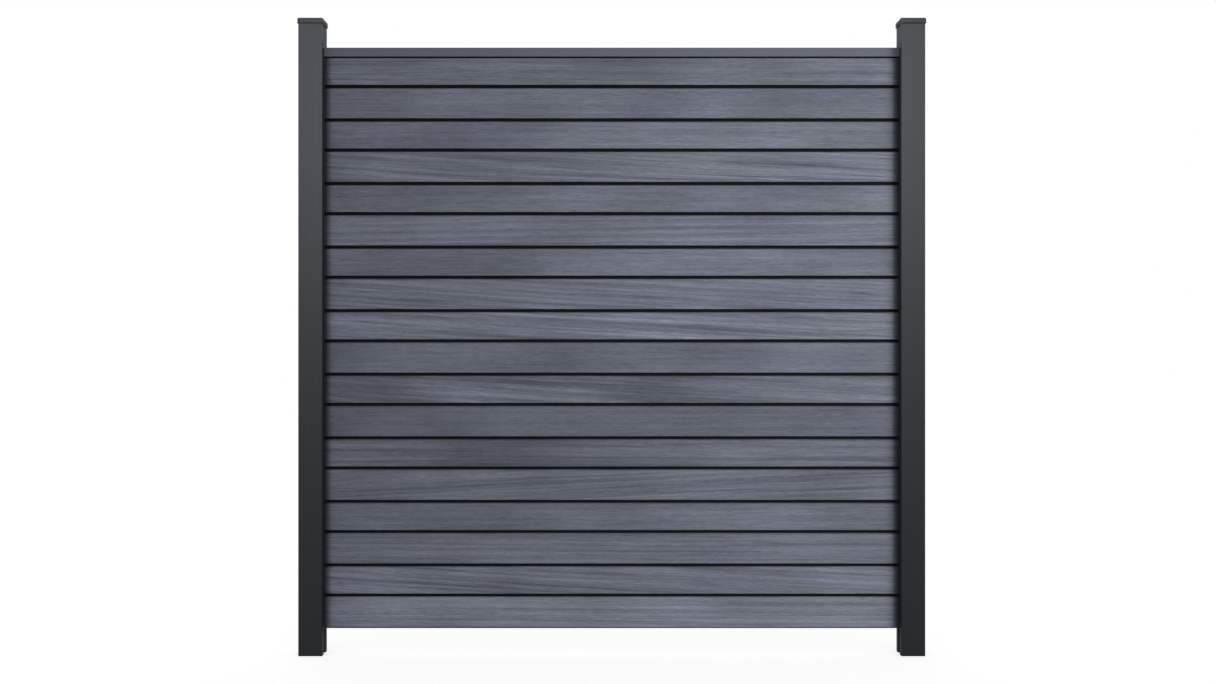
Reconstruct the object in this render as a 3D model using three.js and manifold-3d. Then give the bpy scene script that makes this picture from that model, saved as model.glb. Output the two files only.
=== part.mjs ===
// A garden privacy screen: hollow composite boards, each with two rhombus slats on both faces,
// stacked tongue in groove in the channels of two aluminium posts. A start profile carries the
// lowest board, a top rail closes the highest one, and angle brackets screwed in the channels
// hold both. Millimetres, +Z up, front towards -Y. The origin is on the ground, midway between
// the posts and midway across their depth.

import * as THREE from "three";
import { mergeVertices } from "three/addons/utils/BufferGeometryUtils.js";
import Module from "manifold-3d";

const wasm = await Module();
wasm.setup();

// ---- Driving dimensions ----

const touchGap = 0.3; // left between pieces that rest on each other or fit together

// Screen
const clearWidth = 1810; // between the posts
const groundGap = 82; // from the ground to the start profile
const boardCount = 9;

// Board
const boardThickness = 20;
const lowerSlatPitch = 105; // from a board's lower edge to the lower edge of its upper slat
const upperSlatPitch = 95; // from there to the lower edge of the next board
const grooveHeight = 9; // open height between two slats, down to the root of the slope
const slatSlope = 3; // how far a slat's top falls from that root to its face
const slopeRadius = 1.2; // where the slope meets the face
const dripRise = 1.5; // how far a slat's underside rises behind its lower edge
const dripRadius = 0.6; // of that lower edge
const tongueThickness = 7; // also the web behind each groove
const tongueRise = 12; // height of a tongue inside the piece above it
const tongueRadius = 0.8;
const boardWall = 3.5;
const chamberRib = 3;
const chamberRadius = 1.5;
const chambersPerSlat = 2;
const boardEngagement = 13; // length of each board end inside its channel
const expansionGap = 3; // free length behind each board end

// Aluminium start profile and top rail
const profileWall = 1.5;
const profileRadius = 0.6;
const startBase = 3; // height of the start profile's base under the lowest board
const railChamber = 7.1; // height of the hollow above the rail's slot
const railLap = 5.3; // of the rail's skirts below the top board's joint line
const railRadius = 1.5; // of the rail's upper edges

// Post
const postWidth = 75; // along the screen
const postDepth = 75; // across the screen
const postWall = 2;
const postFreeTop = 82; // of the post above the top rail
const postCornerRadius = 3;
const postInnerRadius = 1;
const lipRadius = 0.8; // of the post's edges beside each channel
const portRadius = 2.2; // of the screw ports for a post shoe
const portWall = 1.8;

// Post cap
const capOverhang = 3; // beyond the post on each side
const capRise = 5; // above the post
const capSkirt = 12; // below the post's top
const capEdge = 4; // radius of its upper edge
const capPlugHeight = 16;
const capPlugWall = 2;

// Cover strip in each post's outward channel
const coverThickness = 1.8;
const coverLeg = 9; // depth of its clip legs
const coverLegThickness = 1.2;

// Rubber seal on each side of the boards
const sealThickness = 2;
const sealRadius = 0.7;
const sealDepth = 10; // inside the channel
const sealNose = 1.5; // outside the channel

// Angle bracket and its screws
const bracketThickness = 2.5;
const bracketSideGap = 1.3; // to each channel wall
const bracketSetback = 1.5; // of the shelf behind the channel's mouth
const bracketEnd = 12; // from the last screw to the end of the leg
const screwInset = 14; // from the shelf to the first screw
const screwPitch = 20;
const screwRadius = 2.1;
const screwLength = 14; // under the head
const screwPoint = 3; // length of its conical point
const screwHeadRadius = 4.2;
const screwHeadHeight = 2.6;
const screwCrownRadius = 2.7; // of the flat on top of the head
const recessLength = 4.6;
const recessWidth = 1;
const recessDepth = 1.5;

// ---- Worked-out sizes ----

const boardCover = lowerSlatPitch + upperSlatPitch;
const boardHalf = boardThickness / 2;
const tongueHalf = tongueThickness / 2;
const slotHalf = tongueHalf + touchGap;
const slotDepth = tongueRise + touchGap;
const boardLength = clearWidth + 2 * boardEngagement;
const railRise = slotDepth + railChamber + 2 * profileWall;

const channelWidth = boardThickness + 2 * (sealThickness + 2 * touchGap);
const channelHalf = channelWidth / 2;
const channelDepth = boardEngagement + expansionGap;

const halfWidth = postWidth / 2;
const halfDepth = postDepth / 2;
const channelFloorX = halfWidth - channelDepth; // from the post's own axis
const postCentreX = (clearWidth + postWidth) / 2;

const firstBoardZ = groundGap + startBase + touchGap;
const topJointZ = firstBoardZ + boardCount * boardCover;
const railTopZ = topJointZ + railRise;
const postLength = railTopZ + postFreeTop;

// ---- Materials ----

const postPaint = new THREE.MeshStandardMaterial({ color: 0x464a4d, roughness: 0.5, metalness: 0.3 });
const railPaint = new THREE.MeshStandardMaterial({ color: 0x5d6168, roughness: 0.45, metalness: 0.3 });
const composite = new THREE.MeshStandardMaterial({ color: 0x666a75, roughness: 0.75, metalness: 0 });
const rubber = new THREE.MeshStandardMaterial({ color: 0x161718, roughness: 0.85, metalness: 0 });
const steel = new THREE.MeshStandardMaterial({ color: 0xa9abac, roughness: 0.35, metalness: 0.9 });

// ---- Geometry helpers ----

const AXIS_X = new THREE.Vector3(1, 0, 0);
const AXIS_Y = new THREE.Vector3(0, 1, 0);
const AXIS_Z = new THREE.Vector3(0, 0, 1);
const ARC_STEPS = 1; // gives two straight steps on each rounded corner
const CAP_STEPS = 3;
const HOLE_SIDES = 12;

// Draws a closed outline through corners given as [x, y] or [x, y, radius].
function traceOutline(path, corners) {
  corners.forEach(([x, y, radius = 0], index) => {
    const corner = new THREE.Vector2(x, y);
    const [previousX, previousY] = corners[(index + corners.length - 1) % corners.length];
    const [nextX, nextY] = corners[(index + 1) % corners.length];
    const back = new THREE.Vector2(previousX, previousY).sub(corner).normalize();
    const ahead = new THREE.Vector2(nextX, nextY).sub(corner).normalize();
    const halfAngle = Math.acos(THREE.MathUtils.clamp(back.dot(ahead), -1, 1)) / 2;
    const tangent = radius / Math.tan(halfAngle);
    const start = corner.clone().addScaledVector(back, tangent);
    if (index === 0) path.moveTo(start.x, start.y);
    else path.lineTo(start.x, start.y);
    if (radius === 0) return;
    const end = corner.clone().addScaledVector(ahead, tangent);
    const towardsCentre = back.clone().add(ahead).normalize();
    const centre = corner.clone().addScaledVector(towardsCentre, radius / Math.sin(halfAngle));
    const from = Math.atan2(start.y - centre.y, start.x - centre.x);
    const to = Math.atan2(end.y - centre.y, end.x - centre.x);
    path.absarc(centre.x, centre.y, radius, from, to, back.cross(ahead) > 0);
  });
  path.closePath();
  return path;
}

// A flat shape from an outline and the outlines of its holes.
function shapeOf(corners, holes = []) {
  const shape = traceOutline(new THREE.Shape(), corners);
  shape.holes = holes.map((hole) => traceOutline(new THREE.Path(), hole));
  return shape;
}

function rectangle(x0, y0, x1, y1, radius = 0) {
  return [
    [x0, y0, radius],
    [x1, y0, radius],
    [x1, y1, radius],
    [x0, y1, radius],
  ];
}

// Adds the mirror image of half an outline, so that a section is alike on both sides.
function mirrored(half) {
  return [...half, ...half.map(([x, ...rest]) => [-x, ...rest]).reverse()];
}

// An extrusion standing along Z, from z to z + length.
function extrudeUp(shape, z, length) {
  const options = { depth: length, bevelEnabled: false, curveSegments: ARC_STEPS };
  return new THREE.ExtrudeGeometry(shape, options).translate(0, 0, z);
}

// An extrusion lying along X and centred on it. Its section is drawn in Y and Z.
function extrudeAlong(shape, length) {
  const lying = new THREE.Matrix4().makeBasis(AXIS_Y, AXIS_Z, AXIS_X);
  return extrudeUp(shape, -length / 2, length).applyMatrix4(lying);
}

function toSolid(geometry) {
  const bare = geometry.index ? geometry.toNonIndexed() : geometry.clone();
  bare.deleteAttribute("normal");
  bare.deleteAttribute("uv");
  const merged = mergeVertices(bare, 1e-4);
  return new wasm.Manifold(
    new wasm.Mesh({
      numProp: 3,
      vertProperties: new Float32Array(merged.attributes.position.array),
      triVerts: new Uint32Array(merged.index.array),
    }),
  );
}

function toGeometry(solid) {
  const { vertProperties, triVerts } = solid.getMesh();
  const geometry = new THREE.BufferGeometry();
  geometry.setAttribute("position", new THREE.BufferAttribute(vertProperties, 3));
  geometry.setIndex(new THREE.BufferAttribute(triVerts, 1));
  return geometry;
}

// A round bar along a direction, used for bosses and for drilling.
function roundBar(radius, length, centre, direction) {
  const turn = new THREE.Quaternion().setFromUnitVectors(AXIS_Y, direction);
  const bar = new THREE.CylinderGeometry(radius, radius, length, HOLE_SIDES);
  return toSolid(bar.applyQuaternion(turn).translate(centre.x, centre.y, centre.z));
}

function place(parent, name, geometry, material, position) {
  const mesh = new THREE.Mesh(geometry, material);
  mesh.name = name;
  mesh.position.set(...position);
  parent.add(mesh);
}

// ---- Boards ----

// Half of a board's section, from its slot up to its tongue. Its z = 0 is its lower edge.
function halfBoardSection() {
  const slat = (bottom, top) => [
    [boardHalf, bottom, dripRadius],
    [boardHalf, top - grooveHeight - slatSlope, slopeRadius],
    [tongueHalf, top - grooveHeight],
  ];
  return [
    [slotHalf, slotDepth],
    [slotHalf, dripRise],
    ...slat(0, lowerSlatPitch),
    [tongueHalf, lowerSlatPitch + dripRise],
    ...slat(lowerSlatPitch, boardCover),
    [tongueHalf, boardCover + tongueRise, tongueRadius],
  ];
}

// The chambers in one slat, stacked between two heights with a rib between each pair.
function slatChambers(bottom, top) {
  const half = boardHalf - boardWall;
  const height = (top - bottom - (chambersPerSlat - 1) * chamberRib) / chambersPerSlat;
  return Array.from({ length: chambersPerSlat }, (_, index) => {
    const floor = bottom + index * (height + chamberRib);
    return rectangle(-half, floor, half, floor + height, chamberRadius);
  });
}

function boardGeometry() {
  const chamberTop = (slatTop) => slatTop - grooveHeight - slatSlope - boardWall;
  const lower = slatChambers(slotDepth + boardWall, chamberTop(lowerSlatPitch));
  const upper = slatChambers(lowerSlatPitch + dripRise + boardWall, chamberTop(boardCover));
  return extrudeAlong(shapeOf(mirrored(halfBoardSection()), [...lower, ...upper]), boardLength);
}

function addBoards(parent) {
  const geometry = boardGeometry();
  for (let index = 0; index < boardCount; index += 1) {
    const z = firstBoardZ + index * boardCover;
    place(parent, `board_${index + 1}`, geometry, composite, [0, 0, z]);
  }
}

// ---- Start profile and top rail ----

// A flat base with a hollow tongue that fills the lowest board's slot.
function startProfileGeometry() {
  const tongueTop = startBase + touchGap + tongueRise;
  const half = [
    [boardHalf, 0, profileRadius],
    [boardHalf, startBase, profileRadius],
    [tongueHalf, startBase],
    [tongueHalf, tongueTop, profileRadius],
  ];
  const hollowHalf = tongueHalf - profileWall;
  const hollow = rectangle(-hollowHalf, profileWall, hollowHalf, tongueTop - profileWall);
  return extrudeAlong(shapeOf(mirrored(half), [hollow]), boardLength);
}

// A box section that fits over the top board's tongue, with a chamber above it and a smaller
// one on each side. Its z = 0 is the top board's joint line.
function topRailGeometry() {
  const half = [
    [slotHalf, slotDepth],
    [slotHalf, -railLap],
    [boardHalf, -railLap, profileRadius],
    [boardHalf, railRise, railRadius],
  ];
  const innerHalf = boardHalf - profileWall;
  const sideFloor = profileWall - railLap;
  const sideInner = slotHalf + profileWall;
  const chambers = [
    rectangle(-innerHalf, slotDepth + profileWall, innerHalf, railRise - profileWall),
    rectangle(sideInner, sideFloor, innerHalf, slotDepth),
    rectangle(-innerHalf, sideFloor, -sideInner, slotDepth),
  ];
  return extrudeAlong(shapeOf(mirrored(half), chambers), boardLength);
}

// ---- Posts ----

// The heights of the screw holes in a post, above the ground.
function screwHeights() {
  const offsets = [screwInset, screwInset + screwPitch];
  const lower = offsets.map((offset) => groundGap - touchGap - offset);
  const upper = offsets.map((offset) => railTopZ + touchGap + offset);
  return [...lower, ...upper];
}

// A square tube with a channel in each side face and four screw ports in its middle chamber.
// The screw holes are in the channel floor that faces the screen, on side +1 or -1 along X.
function postGeometry(side) {
  const outer = [
    [halfWidth, -halfDepth, postCornerRadius],
    [halfWidth, -channelHalf, lipRadius],
    [channelFloorX, -channelHalf],
    [channelFloorX, channelHalf],
    [halfWidth, channelHalf, lipRadius],
    [halfWidth, halfDepth, postCornerRadius],
  ];
  const innerFaceX = halfWidth - postWall;
  const innerFaceY = halfDepth - postWall;
  const webY = channelHalf + postWall;
  const inner = [
    [innerFaceX, -innerFaceY, postInnerRadius],
    [innerFaceX, -webY, postInnerRadius],
    [channelFloorX - postWall, -webY],
    [channelFloorX - postWall, webY],
    [innerFaceX, webY, postInnerRadius],
    [innerFaceX, innerFaceY, postInnerRadius],
  ];
  let post = toSolid(extrudeUp(shapeOf(mirrored(outer), [mirrored(inner)]), 0, postLength));

  const portX = channelFloorX - postWall - portRadius - portWall / 2;
  const portY = channelHalf - portRadius - portWall;
  for (const [x, y] of rectangle(-portX, -portY, portX, portY)) {
    const centre = new THREE.Vector3(x, y, postLength / 2);
    post = post.add(roundBar(portRadius + portWall, postLength, centre, AXIS_Z));
    post = post.subtract(roundBar(portRadius, 2 * postLength, centre, AXIS_Z));
  }

  for (const z of screwHeights()) {
    const centre = new THREE.Vector3(side * (channelFloorX - postWall / 2), 0, z);
    post = post.subtract(roundBar(screwRadius + touchGap, 2 * postWall, centre, AXIS_X));
  }
  return toGeometry(post);
}

// A shallow lid with a skirt round the post and a ring-shaped plug for each of the post's two
// wide chambers. Its z = 0 is the underside of the lid.
function capGeometry() {
  const insetX = halfWidth + capOverhang - capEdge;
  const insetY = halfDepth + capOverhang - capEdge;
  const insetRadius = postCornerRadius + capOverhang - capEdge;
  const block = new THREE.ExtrudeGeometry(
    shapeOf(rectangle(-insetX, -insetY, insetX, insetY, insetRadius)),
    {
      depth: capSkirt + capRise,
      bevelThickness: capEdge,
      bevelSize: capEdge,
      bevelSegments: CAP_STEPS,
      curveSegments: CAP_STEPS,
    },
  ).translate(0, 0, -capSkirt - capEdge);
  const boreX = halfWidth + touchGap;
  const boreY = halfDepth + touchGap;
  const bore = rectangle(-boreX, -boreY, boreX, boreY, postCornerRadius + touchGap);
  const below = rectangle(-2 * boreX, -2 * boreY, 2 * boreX, 2 * boreY);
  let cap = toSolid(block)
    .subtract(toSolid(extrudeUp(shapeOf(bore), -2 * capSkirt, 2 * capSkirt)))
    .subtract(toSolid(extrudeUp(shapeOf(below), -2 * capSkirt, capSkirt)));

  const plugX = halfWidth - postWall - touchGap;
  const plugNearY = channelHalf + postWall + touchGap;
  const plugFarY = halfDepth - postWall - touchGap;
  const ring = shapeOf(rectangle(-plugX, plugNearY, plugX, plugFarY, postInnerRadius), [
    rectangle(
      capPlugWall - plugX,
      plugNearY + capPlugWall,
      plugX - capPlugWall,
      plugFarY - capPlugWall,
    ),
  ]);
  const plug = toSolid(extrudeUp(ring, -capPlugHeight, capPlugHeight + capRise / 2));
  cap = cap.add(plug).add(plug.rotate([0, 0, 180]));
  return toGeometry(cap);
}

// A flat strip with two clip legs that closes the channel on side +1 or -1 of a post.
function channelCoverGeometry(side) {
  const half = channelHalf - touchGap;
  const inner = halfWidth - coverThickness;
  const legEnd = halfWidth - coverLeg;
  const section = [
    [halfWidth, -half],
    [halfWidth, half],
    [legEnd, half],
    [legEnd, half - coverLegThickness],
    [inner, half - coverLegThickness],
    [inner, coverLegThickness - half],
    [legEnd, coverLegThickness - half],
    [legEnd, -half],
  ];
  const facing = section.map(([x, y]) => [side * x, y]);
  return extrudeUp(shapeOf(facing), 0, postLength);
}

// A rubber strip between a channel wall and the boards, on side +1 or -1 of a post and on the
// front (-1) or back (+1) of the boards.
function sealGeometry(side, face) {
  const deepX = side * (halfWidth - sealDepth);
  const noseX = side * (halfWidth + sealNose);
  const boardY = face * (boardHalf + touchGap);
  const wallY = boardY + face * sealThickness;
  const section = rectangle(deepX, boardY, noseX, wallY, sealRadius);
  return extrudeUp(shapeOf(section), groundGap, railTopZ - groundGap);
}

// A post with what belongs to it. The screen is on side +1 or -1 of it along X.
function addPost(parent, name, side) {
  const x = -side * postCentreX;
  place(parent, `post_${name}`, postGeometry(side), postPaint, [x, 0, 0]);
  place(parent, `post_cap_${name}`, capGeometry(), postPaint, [x, 0, postLength + touchGap]);
  place(parent, `channel_cover_${name}`, channelCoverGeometry(-side), postPaint, [x, 0, 0]);
  place(parent, `seal_${name}_front`, sealGeometry(side, -1), rubber, [x, 0, 0]);
  place(parent, `seal_${name}_back`, sealGeometry(side, 1), rubber, [x, 0, 0]);
}

// ---- Brackets and screws ----

// An angle with its shelf along +X and its leg down. Its own origin is on the channel floor,
// level with the shelf's bearing face.
function bracketGeometry() {
  const shelf = channelDepth - touchGap - bracketSetback;
  const leg = screwInset + screwPitch + bracketEnd;
  const section = [
    [0, 0, bracketThickness],
    [0, -leg],
    [bracketThickness, -leg],
    [bracketThickness, -bracketThickness],
    [shelf, -bracketThickness],
    [shelf, 0],
  ];
  const width = channelWidth - 2 * bracketSideGap;
  const across = new THREE.Matrix4().makeBasis(AXIS_X, AXIS_Z, AXIS_Y.clone().negate());
  let bracket = toSolid(extrudeUp(shapeOf(section), -width / 2, width).applyMatrix4(across));
  for (const depth of [screwInset, screwInset + screwPitch]) {
    const centre = new THREE.Vector3(bracketThickness / 2, 0, -depth);
    const drill = roundBar(screwRadius + touchGap, 2 * bracketThickness, centre, AXIS_X);
    bracket = bracket.subtract(drill);
  }
  return toGeometry(bracket);
}

// A pan-head screw along X with its point towards -X. Its own origin is under the head.
function screwGeometry() {
  const profile = [
    [0, -screwLength],
    [screwRadius, screwPoint - screwLength],
    [screwRadius, 0],
    [screwHeadRadius, 0],
    [screwHeadRadius, screwHeadHeight / 2],
    [screwCrownRadius, screwHeadHeight],
    [0, screwHeadHeight],
  ].map(([radius, height]) => new THREE.Vector2(radius, height));
  let screw = toSolid(new THREE.LatheGeometry(profile, HOLE_SIDES));
  for (const [length, width] of [[recessLength, recessWidth], [recessWidth, recessLength]]) {
    const slot = new THREE.BoxGeometry(length, 2 * recessDepth, width);
    screw = screw.subtract(toSolid(slot.translate(0, screwHeadHeight, 0)));
  }
  const lying = new THREE.Matrix4().makeBasis(AXIS_Y, AXIS_X, AXIS_Z.clone().negate());
  return toGeometry(screw).applyMatrix4(lying);
}

// Each bracket and its screws are in a group at the channel floor, turned to face the screen,
// and turned over where the bracket holds the top rail down.
function addBracket(parent, name, side, over) {
  const group = new THREE.Group();
  const floorX = -side * (clearWidth / 2 + channelDepth - touchGap);
  const shelfZ = over ? railTopZ + touchGap : groundGap - touchGap;
  group.position.set(floorX, 0, shelfZ);
  group.rotation.set(over ? Math.PI : 0, 0, side > 0 ? 0 : Math.PI);
  place(group, `bracket_${name}`, bracketGeometry(), steel, [0, 0, 0]);
  [screwInset, screwInset + screwPitch].forEach((depth, index) => {
    const headX = bracketThickness + touchGap;
    place(group, `screw_${name}_${index + 1}`, screwGeometry(), steel, [headX, 0, -depth]);
  });
  parent.add(group);
}

// ---- Assembly ----

const screen = new THREE.Group();
for (const [name, side] of [["left", 1], ["right", -1]]) {
  addPost(screen, name, side);
  addBracket(screen, `bottom_${name}`, side, false);
  addBracket(screen, `top_${name}`, side, true);
}
place(screen, "start_profile", startProfileGeometry(), postPaint, [0, 0, groundGap]);
addBoards(screen);
place(screen, "top_rail", topRailGeometry(), railPaint, [0, 0, topJointZ]);

export default screen;
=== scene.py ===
"""Looks of a garden privacy screen: hollow composite boards stacked between two aluminium posts.

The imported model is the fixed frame. Every piece made here stands where its node stands, in metres,
with +Z up and the front towards -Y. Sections are drawn flat and extruded by Geometry Nodes, the
boards get their pressed wood grain there too, and each finish is a procedural material.
"""

import logging
import math
from collections.abc import Iterable, Mapping, Sequence
from dataclasses import dataclass, field
from enum import Enum
from typing import Union

import bpy
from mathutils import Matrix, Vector


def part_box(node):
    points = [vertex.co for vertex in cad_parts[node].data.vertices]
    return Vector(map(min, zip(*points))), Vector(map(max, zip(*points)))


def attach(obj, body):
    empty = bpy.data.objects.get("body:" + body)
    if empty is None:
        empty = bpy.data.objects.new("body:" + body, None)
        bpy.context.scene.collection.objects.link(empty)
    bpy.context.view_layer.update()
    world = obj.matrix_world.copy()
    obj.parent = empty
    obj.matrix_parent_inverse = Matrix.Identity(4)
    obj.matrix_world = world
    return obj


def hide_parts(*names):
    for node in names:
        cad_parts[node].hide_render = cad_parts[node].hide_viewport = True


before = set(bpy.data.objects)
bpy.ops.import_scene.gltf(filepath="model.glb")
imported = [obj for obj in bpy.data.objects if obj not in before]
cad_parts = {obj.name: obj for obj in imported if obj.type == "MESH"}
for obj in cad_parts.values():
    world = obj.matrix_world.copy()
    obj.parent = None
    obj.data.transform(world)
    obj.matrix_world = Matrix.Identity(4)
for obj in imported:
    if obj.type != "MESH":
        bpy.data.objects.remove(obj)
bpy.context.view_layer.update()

log = logging.getLogger("screen")

Point = tuple[float, float]
Point3 = tuple[float, float, float]
Corner = tuple[float, ...]  # x, y and, where the corner is rounded, its radius
Outline = list[Point]
Face = tuple[int, ...]  # numbers of its vertices
Colour = tuple[float, float, float, float]
Lumps = Union[float, Point3]  # lumps of noise to a unit, the same on every axis or one for each
Operand = Union["Term", float]
Tint = Union["Term", Colour]

TOUCH_GAP = 0.0003  # between pieces that rest on each other or fit together
PHOTO_WIDTH = 1216  # pixels
SENSOR_WIDTH = 36.0  # millimetres
WHITE: Colour = (1.0, 1.0, 1.0, 1.0)


# ---- Node trees ----


class Term:
    """One socket of a node tree. Sums on terms add the Math nodes that work them out."""

    def __init__(self, graph: "Graph", socket: bpy.types.NodeSocket) -> None:
        """Wraps an output socket of a tree."""
        self.graph = graph
        self.socket = socket

    def math(self, operation: str, *others: Operand) -> "Term":
        """The result of a Math node whose first value is this term."""
        return self.graph.math(operation, self, *others)

    def output(self, name: str) -> "Term":
        """Another output of the same node."""
        return Term(self.graph, self.socket.node.outputs[name])

    def swing(self, reach: Operand) -> "Term":
        """How far noise about 0.5 leaves it, times a reach."""
        return (self - 0.5) * reach

    def __add__(self, other: Operand) -> "Term":
        """self + other."""
        return self.math("ADD", other)

    def __radd__(self, other: Operand) -> "Term":
        """other + self."""
        return self.graph.math("ADD", other, self)

    def __sub__(self, other: Operand) -> "Term":
        """self - other."""
        return self.math("SUBTRACT", other)

    def __rsub__(self, other: Operand) -> "Term":
        """other - self."""
        return self.graph.math("SUBTRACT", other, self)

    def __mul__(self, other: Operand) -> "Term":
        """self * other."""
        return self.math("MULTIPLY", other)

    def __rmul__(self, other: Operand) -> "Term":
        """other * self."""
        return self.graph.math("MULTIPLY", other, self)

    def __abs__(self) -> "Term":
        """The size of self without its sign."""
        return self.math("ABSOLUTE")


class Graph:
    """Adds nodes to one node tree."""

    def __init__(self, tree: bpy.types.NodeTree) -> None:
        """Wraps a node tree."""
        self.tree = tree

    def node(
        self,
        kind: str,
        settings: Mapping[str, object] | None = None,
        inputs: Mapping[int | str, object] | None = None,
        output: int | str = 0,
    ) -> Term:
        """Adds a node, gives it its settings, and then its values and links.

        Args:
            kind: The node's type.
            settings: Its properties by name.
            inputs: Values, terms or lists of terms for its sockets, by name or number.
            output: The output to return, by name or number.

        Returns:
            That output.
        """
        made = self.tree.nodes.new(kind)
        for name, value in (settings or {}).items():
            setattr(made, name, value)
        for name, value in (inputs or {}).items():
            for item in value if isinstance(value, list) else [value]:
                if isinstance(item, Term):
                    self.tree.links.new(item.socket, made.inputs[name])
                else:
                    made.inputs[name].default_value = item
        return Term(self, made.outputs[output])

    def end(self, kind: str, term: Term) -> None:
        """Ends the tree with an output node that takes the term."""
        self.tree.links.new(term.socket, self.tree.nodes.new(kind).inputs[0])

    def math(self, operation: str, *operands: Operand) -> Term:
        """The result of a Math node with these values."""
        return self.node("ShaderNodeMath", {"operation": operation}, dict(enumerate(operands)))

    def vector(self, x: Operand = 0.0, y: Operand = 0.0, z: Operand = 0.0) -> Term:
        """A vector from three values."""
        return self.node("ShaderNodeCombineXYZ", inputs={0: x, 1: y, 2: z})

    def noise(
        self, vector: Term, lumps: Lumps, detail: float = 2.0, roughness: float = 0.5
    ) -> Term:
        """Smooth noise about 0.5.

        Args:
            vector: Where to read it.
            lumps: Number of lumps to each unit of the vector.
            detail: Octaves added to the first.
            roughness: Strength of each octave against the one before.

        Returns:
            The noise value.
        """
        factors = (lumps, lumps, lumps) if isinstance(lumps, float) else lumps
        stretch = {0: vector, 1: factors}
        stretched = self.node("ShaderNodeVectorMath", {"operation": "MULTIPLY"}, stretch)
        values = {"Vector": stretched, "Scale": 1.0, "Detail": detail, "Roughness": roughness}
        return self.node("ShaderNodeTexNoise", {"noise_dimensions": "3D"}, values)

    def ramp(
        self, value: Term, low: float, high: float, start: float = 0.0, end: float = 1.0
    ) -> Term:
        """Goes smoothly from start to end while the value goes from low to high."""
        settings = {"interpolation_type": "SMOOTHSTEP", "clamp": True}
        return self.node("ShaderNodeMapRange", settings, {0: value, 1: low, 2: high, 3: start, 4: end})


class GeometryRule(Graph):
    """A Geometry Nodes tree with named inputs, run on a drawn mesh to give a finished one."""

    def __init__(self, name: str) -> None:
        """Starts an empty tree that takes and gives geometry.

        Args:
            name: The tree's name.
        """
        super().__init__(bpy.data.node_groups.new(name, "GeometryNodeTree"))
        self.keys: dict[str, str] = {}
        for way in ("INPUT", "OUTPUT"):
            self.tree.interface.new_socket("Geometry", in_out=way, socket_type="NodeSocketGeometry")
        self.drawn = self.node("NodeGroupInput")

    def size(self, name: str, kind: str = "Float") -> Term:
        """Adds a named input.

        Args:
            name: Its name.
            kind: Float, Int, Vector, Material or Object.

        Returns:
            The input's value inside the tree.
        """
        socket = self.tree.interface.new_socket(name, in_out="INPUT", socket_type=f"NodeSocket{kind}")
        self.keys[name] = socket.identifier
        return self.node("NodeGroupInput", output=name)

    def store(self, geometry: Term, name: str, value: object, kind: str, domain: str = "POINT") -> Term:
        """Keeps a value on the geometry under a name.

        Args:
            geometry: What gets it.
            name: The attribute's name.
            value: A term or a plain value.
            kind: Its data type.
            domain: POINT or FACE.

        Returns:
            The geometry with the attribute.
        """
        settings = {"data_type": kind, "domain": domain}
        values = {"Geometry": geometry, "Name": name, "Value": value}
        return self.node("GeometryNodeStoreNamedAttribute", settings, values)

    def named(self, name: str, kind: str = "FLOAT") -> Term:
        """The value kept under a name."""
        return self.node("GeometryNodeInputNamedAttribute", {"data_type": kind}, {"Name": name})

    def curves(self, mesh: Term) -> Term:
        """The edges of a mesh as curves."""
        return self.node("GeometryNodeMeshToCurve", inputs={"Mesh": mesh})

    def rotation(self, turn: Term) -> Term:
        """The rotation of Euler angles."""
        return self.node("FunctionNodeEulerToRotation", inputs={0: turn})

    def moved(self, geometry: Term, **changes: Term) -> Term:
        """Geometry with a Translation or a Rotation."""
        return self.node("GeometryNodeTransform", inputs={"Geometry": geometry, **changes})

    def instances(self, shape: Term, points: Term, turn: Term) -> Term:
        """Copies of a shape at points, each with an Euler turn, which aren't real yet."""
        values = {"Points": points, "Instance": shape, "Rotation": self.rotation(turn)}
        return self.node("GeometryNodeInstanceOnPoints", inputs=values)

    def give(self, geometry: Term, *coats: tuple[Term, str]) -> None:
        """Ends the tree: makes the geometry real and gives it its finishes.

        Args:
            geometry: The finished shape.
            coats: Materials in order, each with the mark of its faces, or "" for all of them.
        """
        dressed = self.node("GeometryNodeRealizeInstances", inputs={0: geometry})
        for material, mark in coats:
            values = {"Geometry": dressed, "Material": material}
            if mark:
                values["Selection"] = self.named(mark, "BOOLEAN")
            dressed = self.node("GeometryNodeSetMaterial", inputs=values)
        self.end("NodeGroupOutput", dressed)

    def run(self, drawn: bpy.types.Mesh, values: Mapping[str, object]) -> bpy.types.Mesh:
        """Runs the tree on a drawn mesh.

        Args:
            drawn: The mesh to start from, which is used up.
            values: A value for each named input.

        Returns:
            The plain mesh that comes out.
        """
        carrier = add_object("carrier", drawn)
        modifier = carrier.modifiers.new("rule", "NODES")
        modifier.node_group = self.tree
        for name, value in values.items():
            modifier[self.keys[name]] = value
        evaluated = carrier.evaluated_get(bpy.context.evaluated_depsgraph_get())
        made = bpy.data.meshes.new_from_object(evaluated)
        carrier.modifiers.remove(modifier)
        bpy.data.objects.remove(carrier)
        bpy.data.meshes.remove(drawn)
        return made


class Axis(Enum):
    """Direction of an extrusion, as the Euler turn that brings it there from +Z."""

    UP = (0.0, 0.0, 0.0)
    ALONG = (math.pi / 2, 0.0, math.pi / 2)


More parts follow.
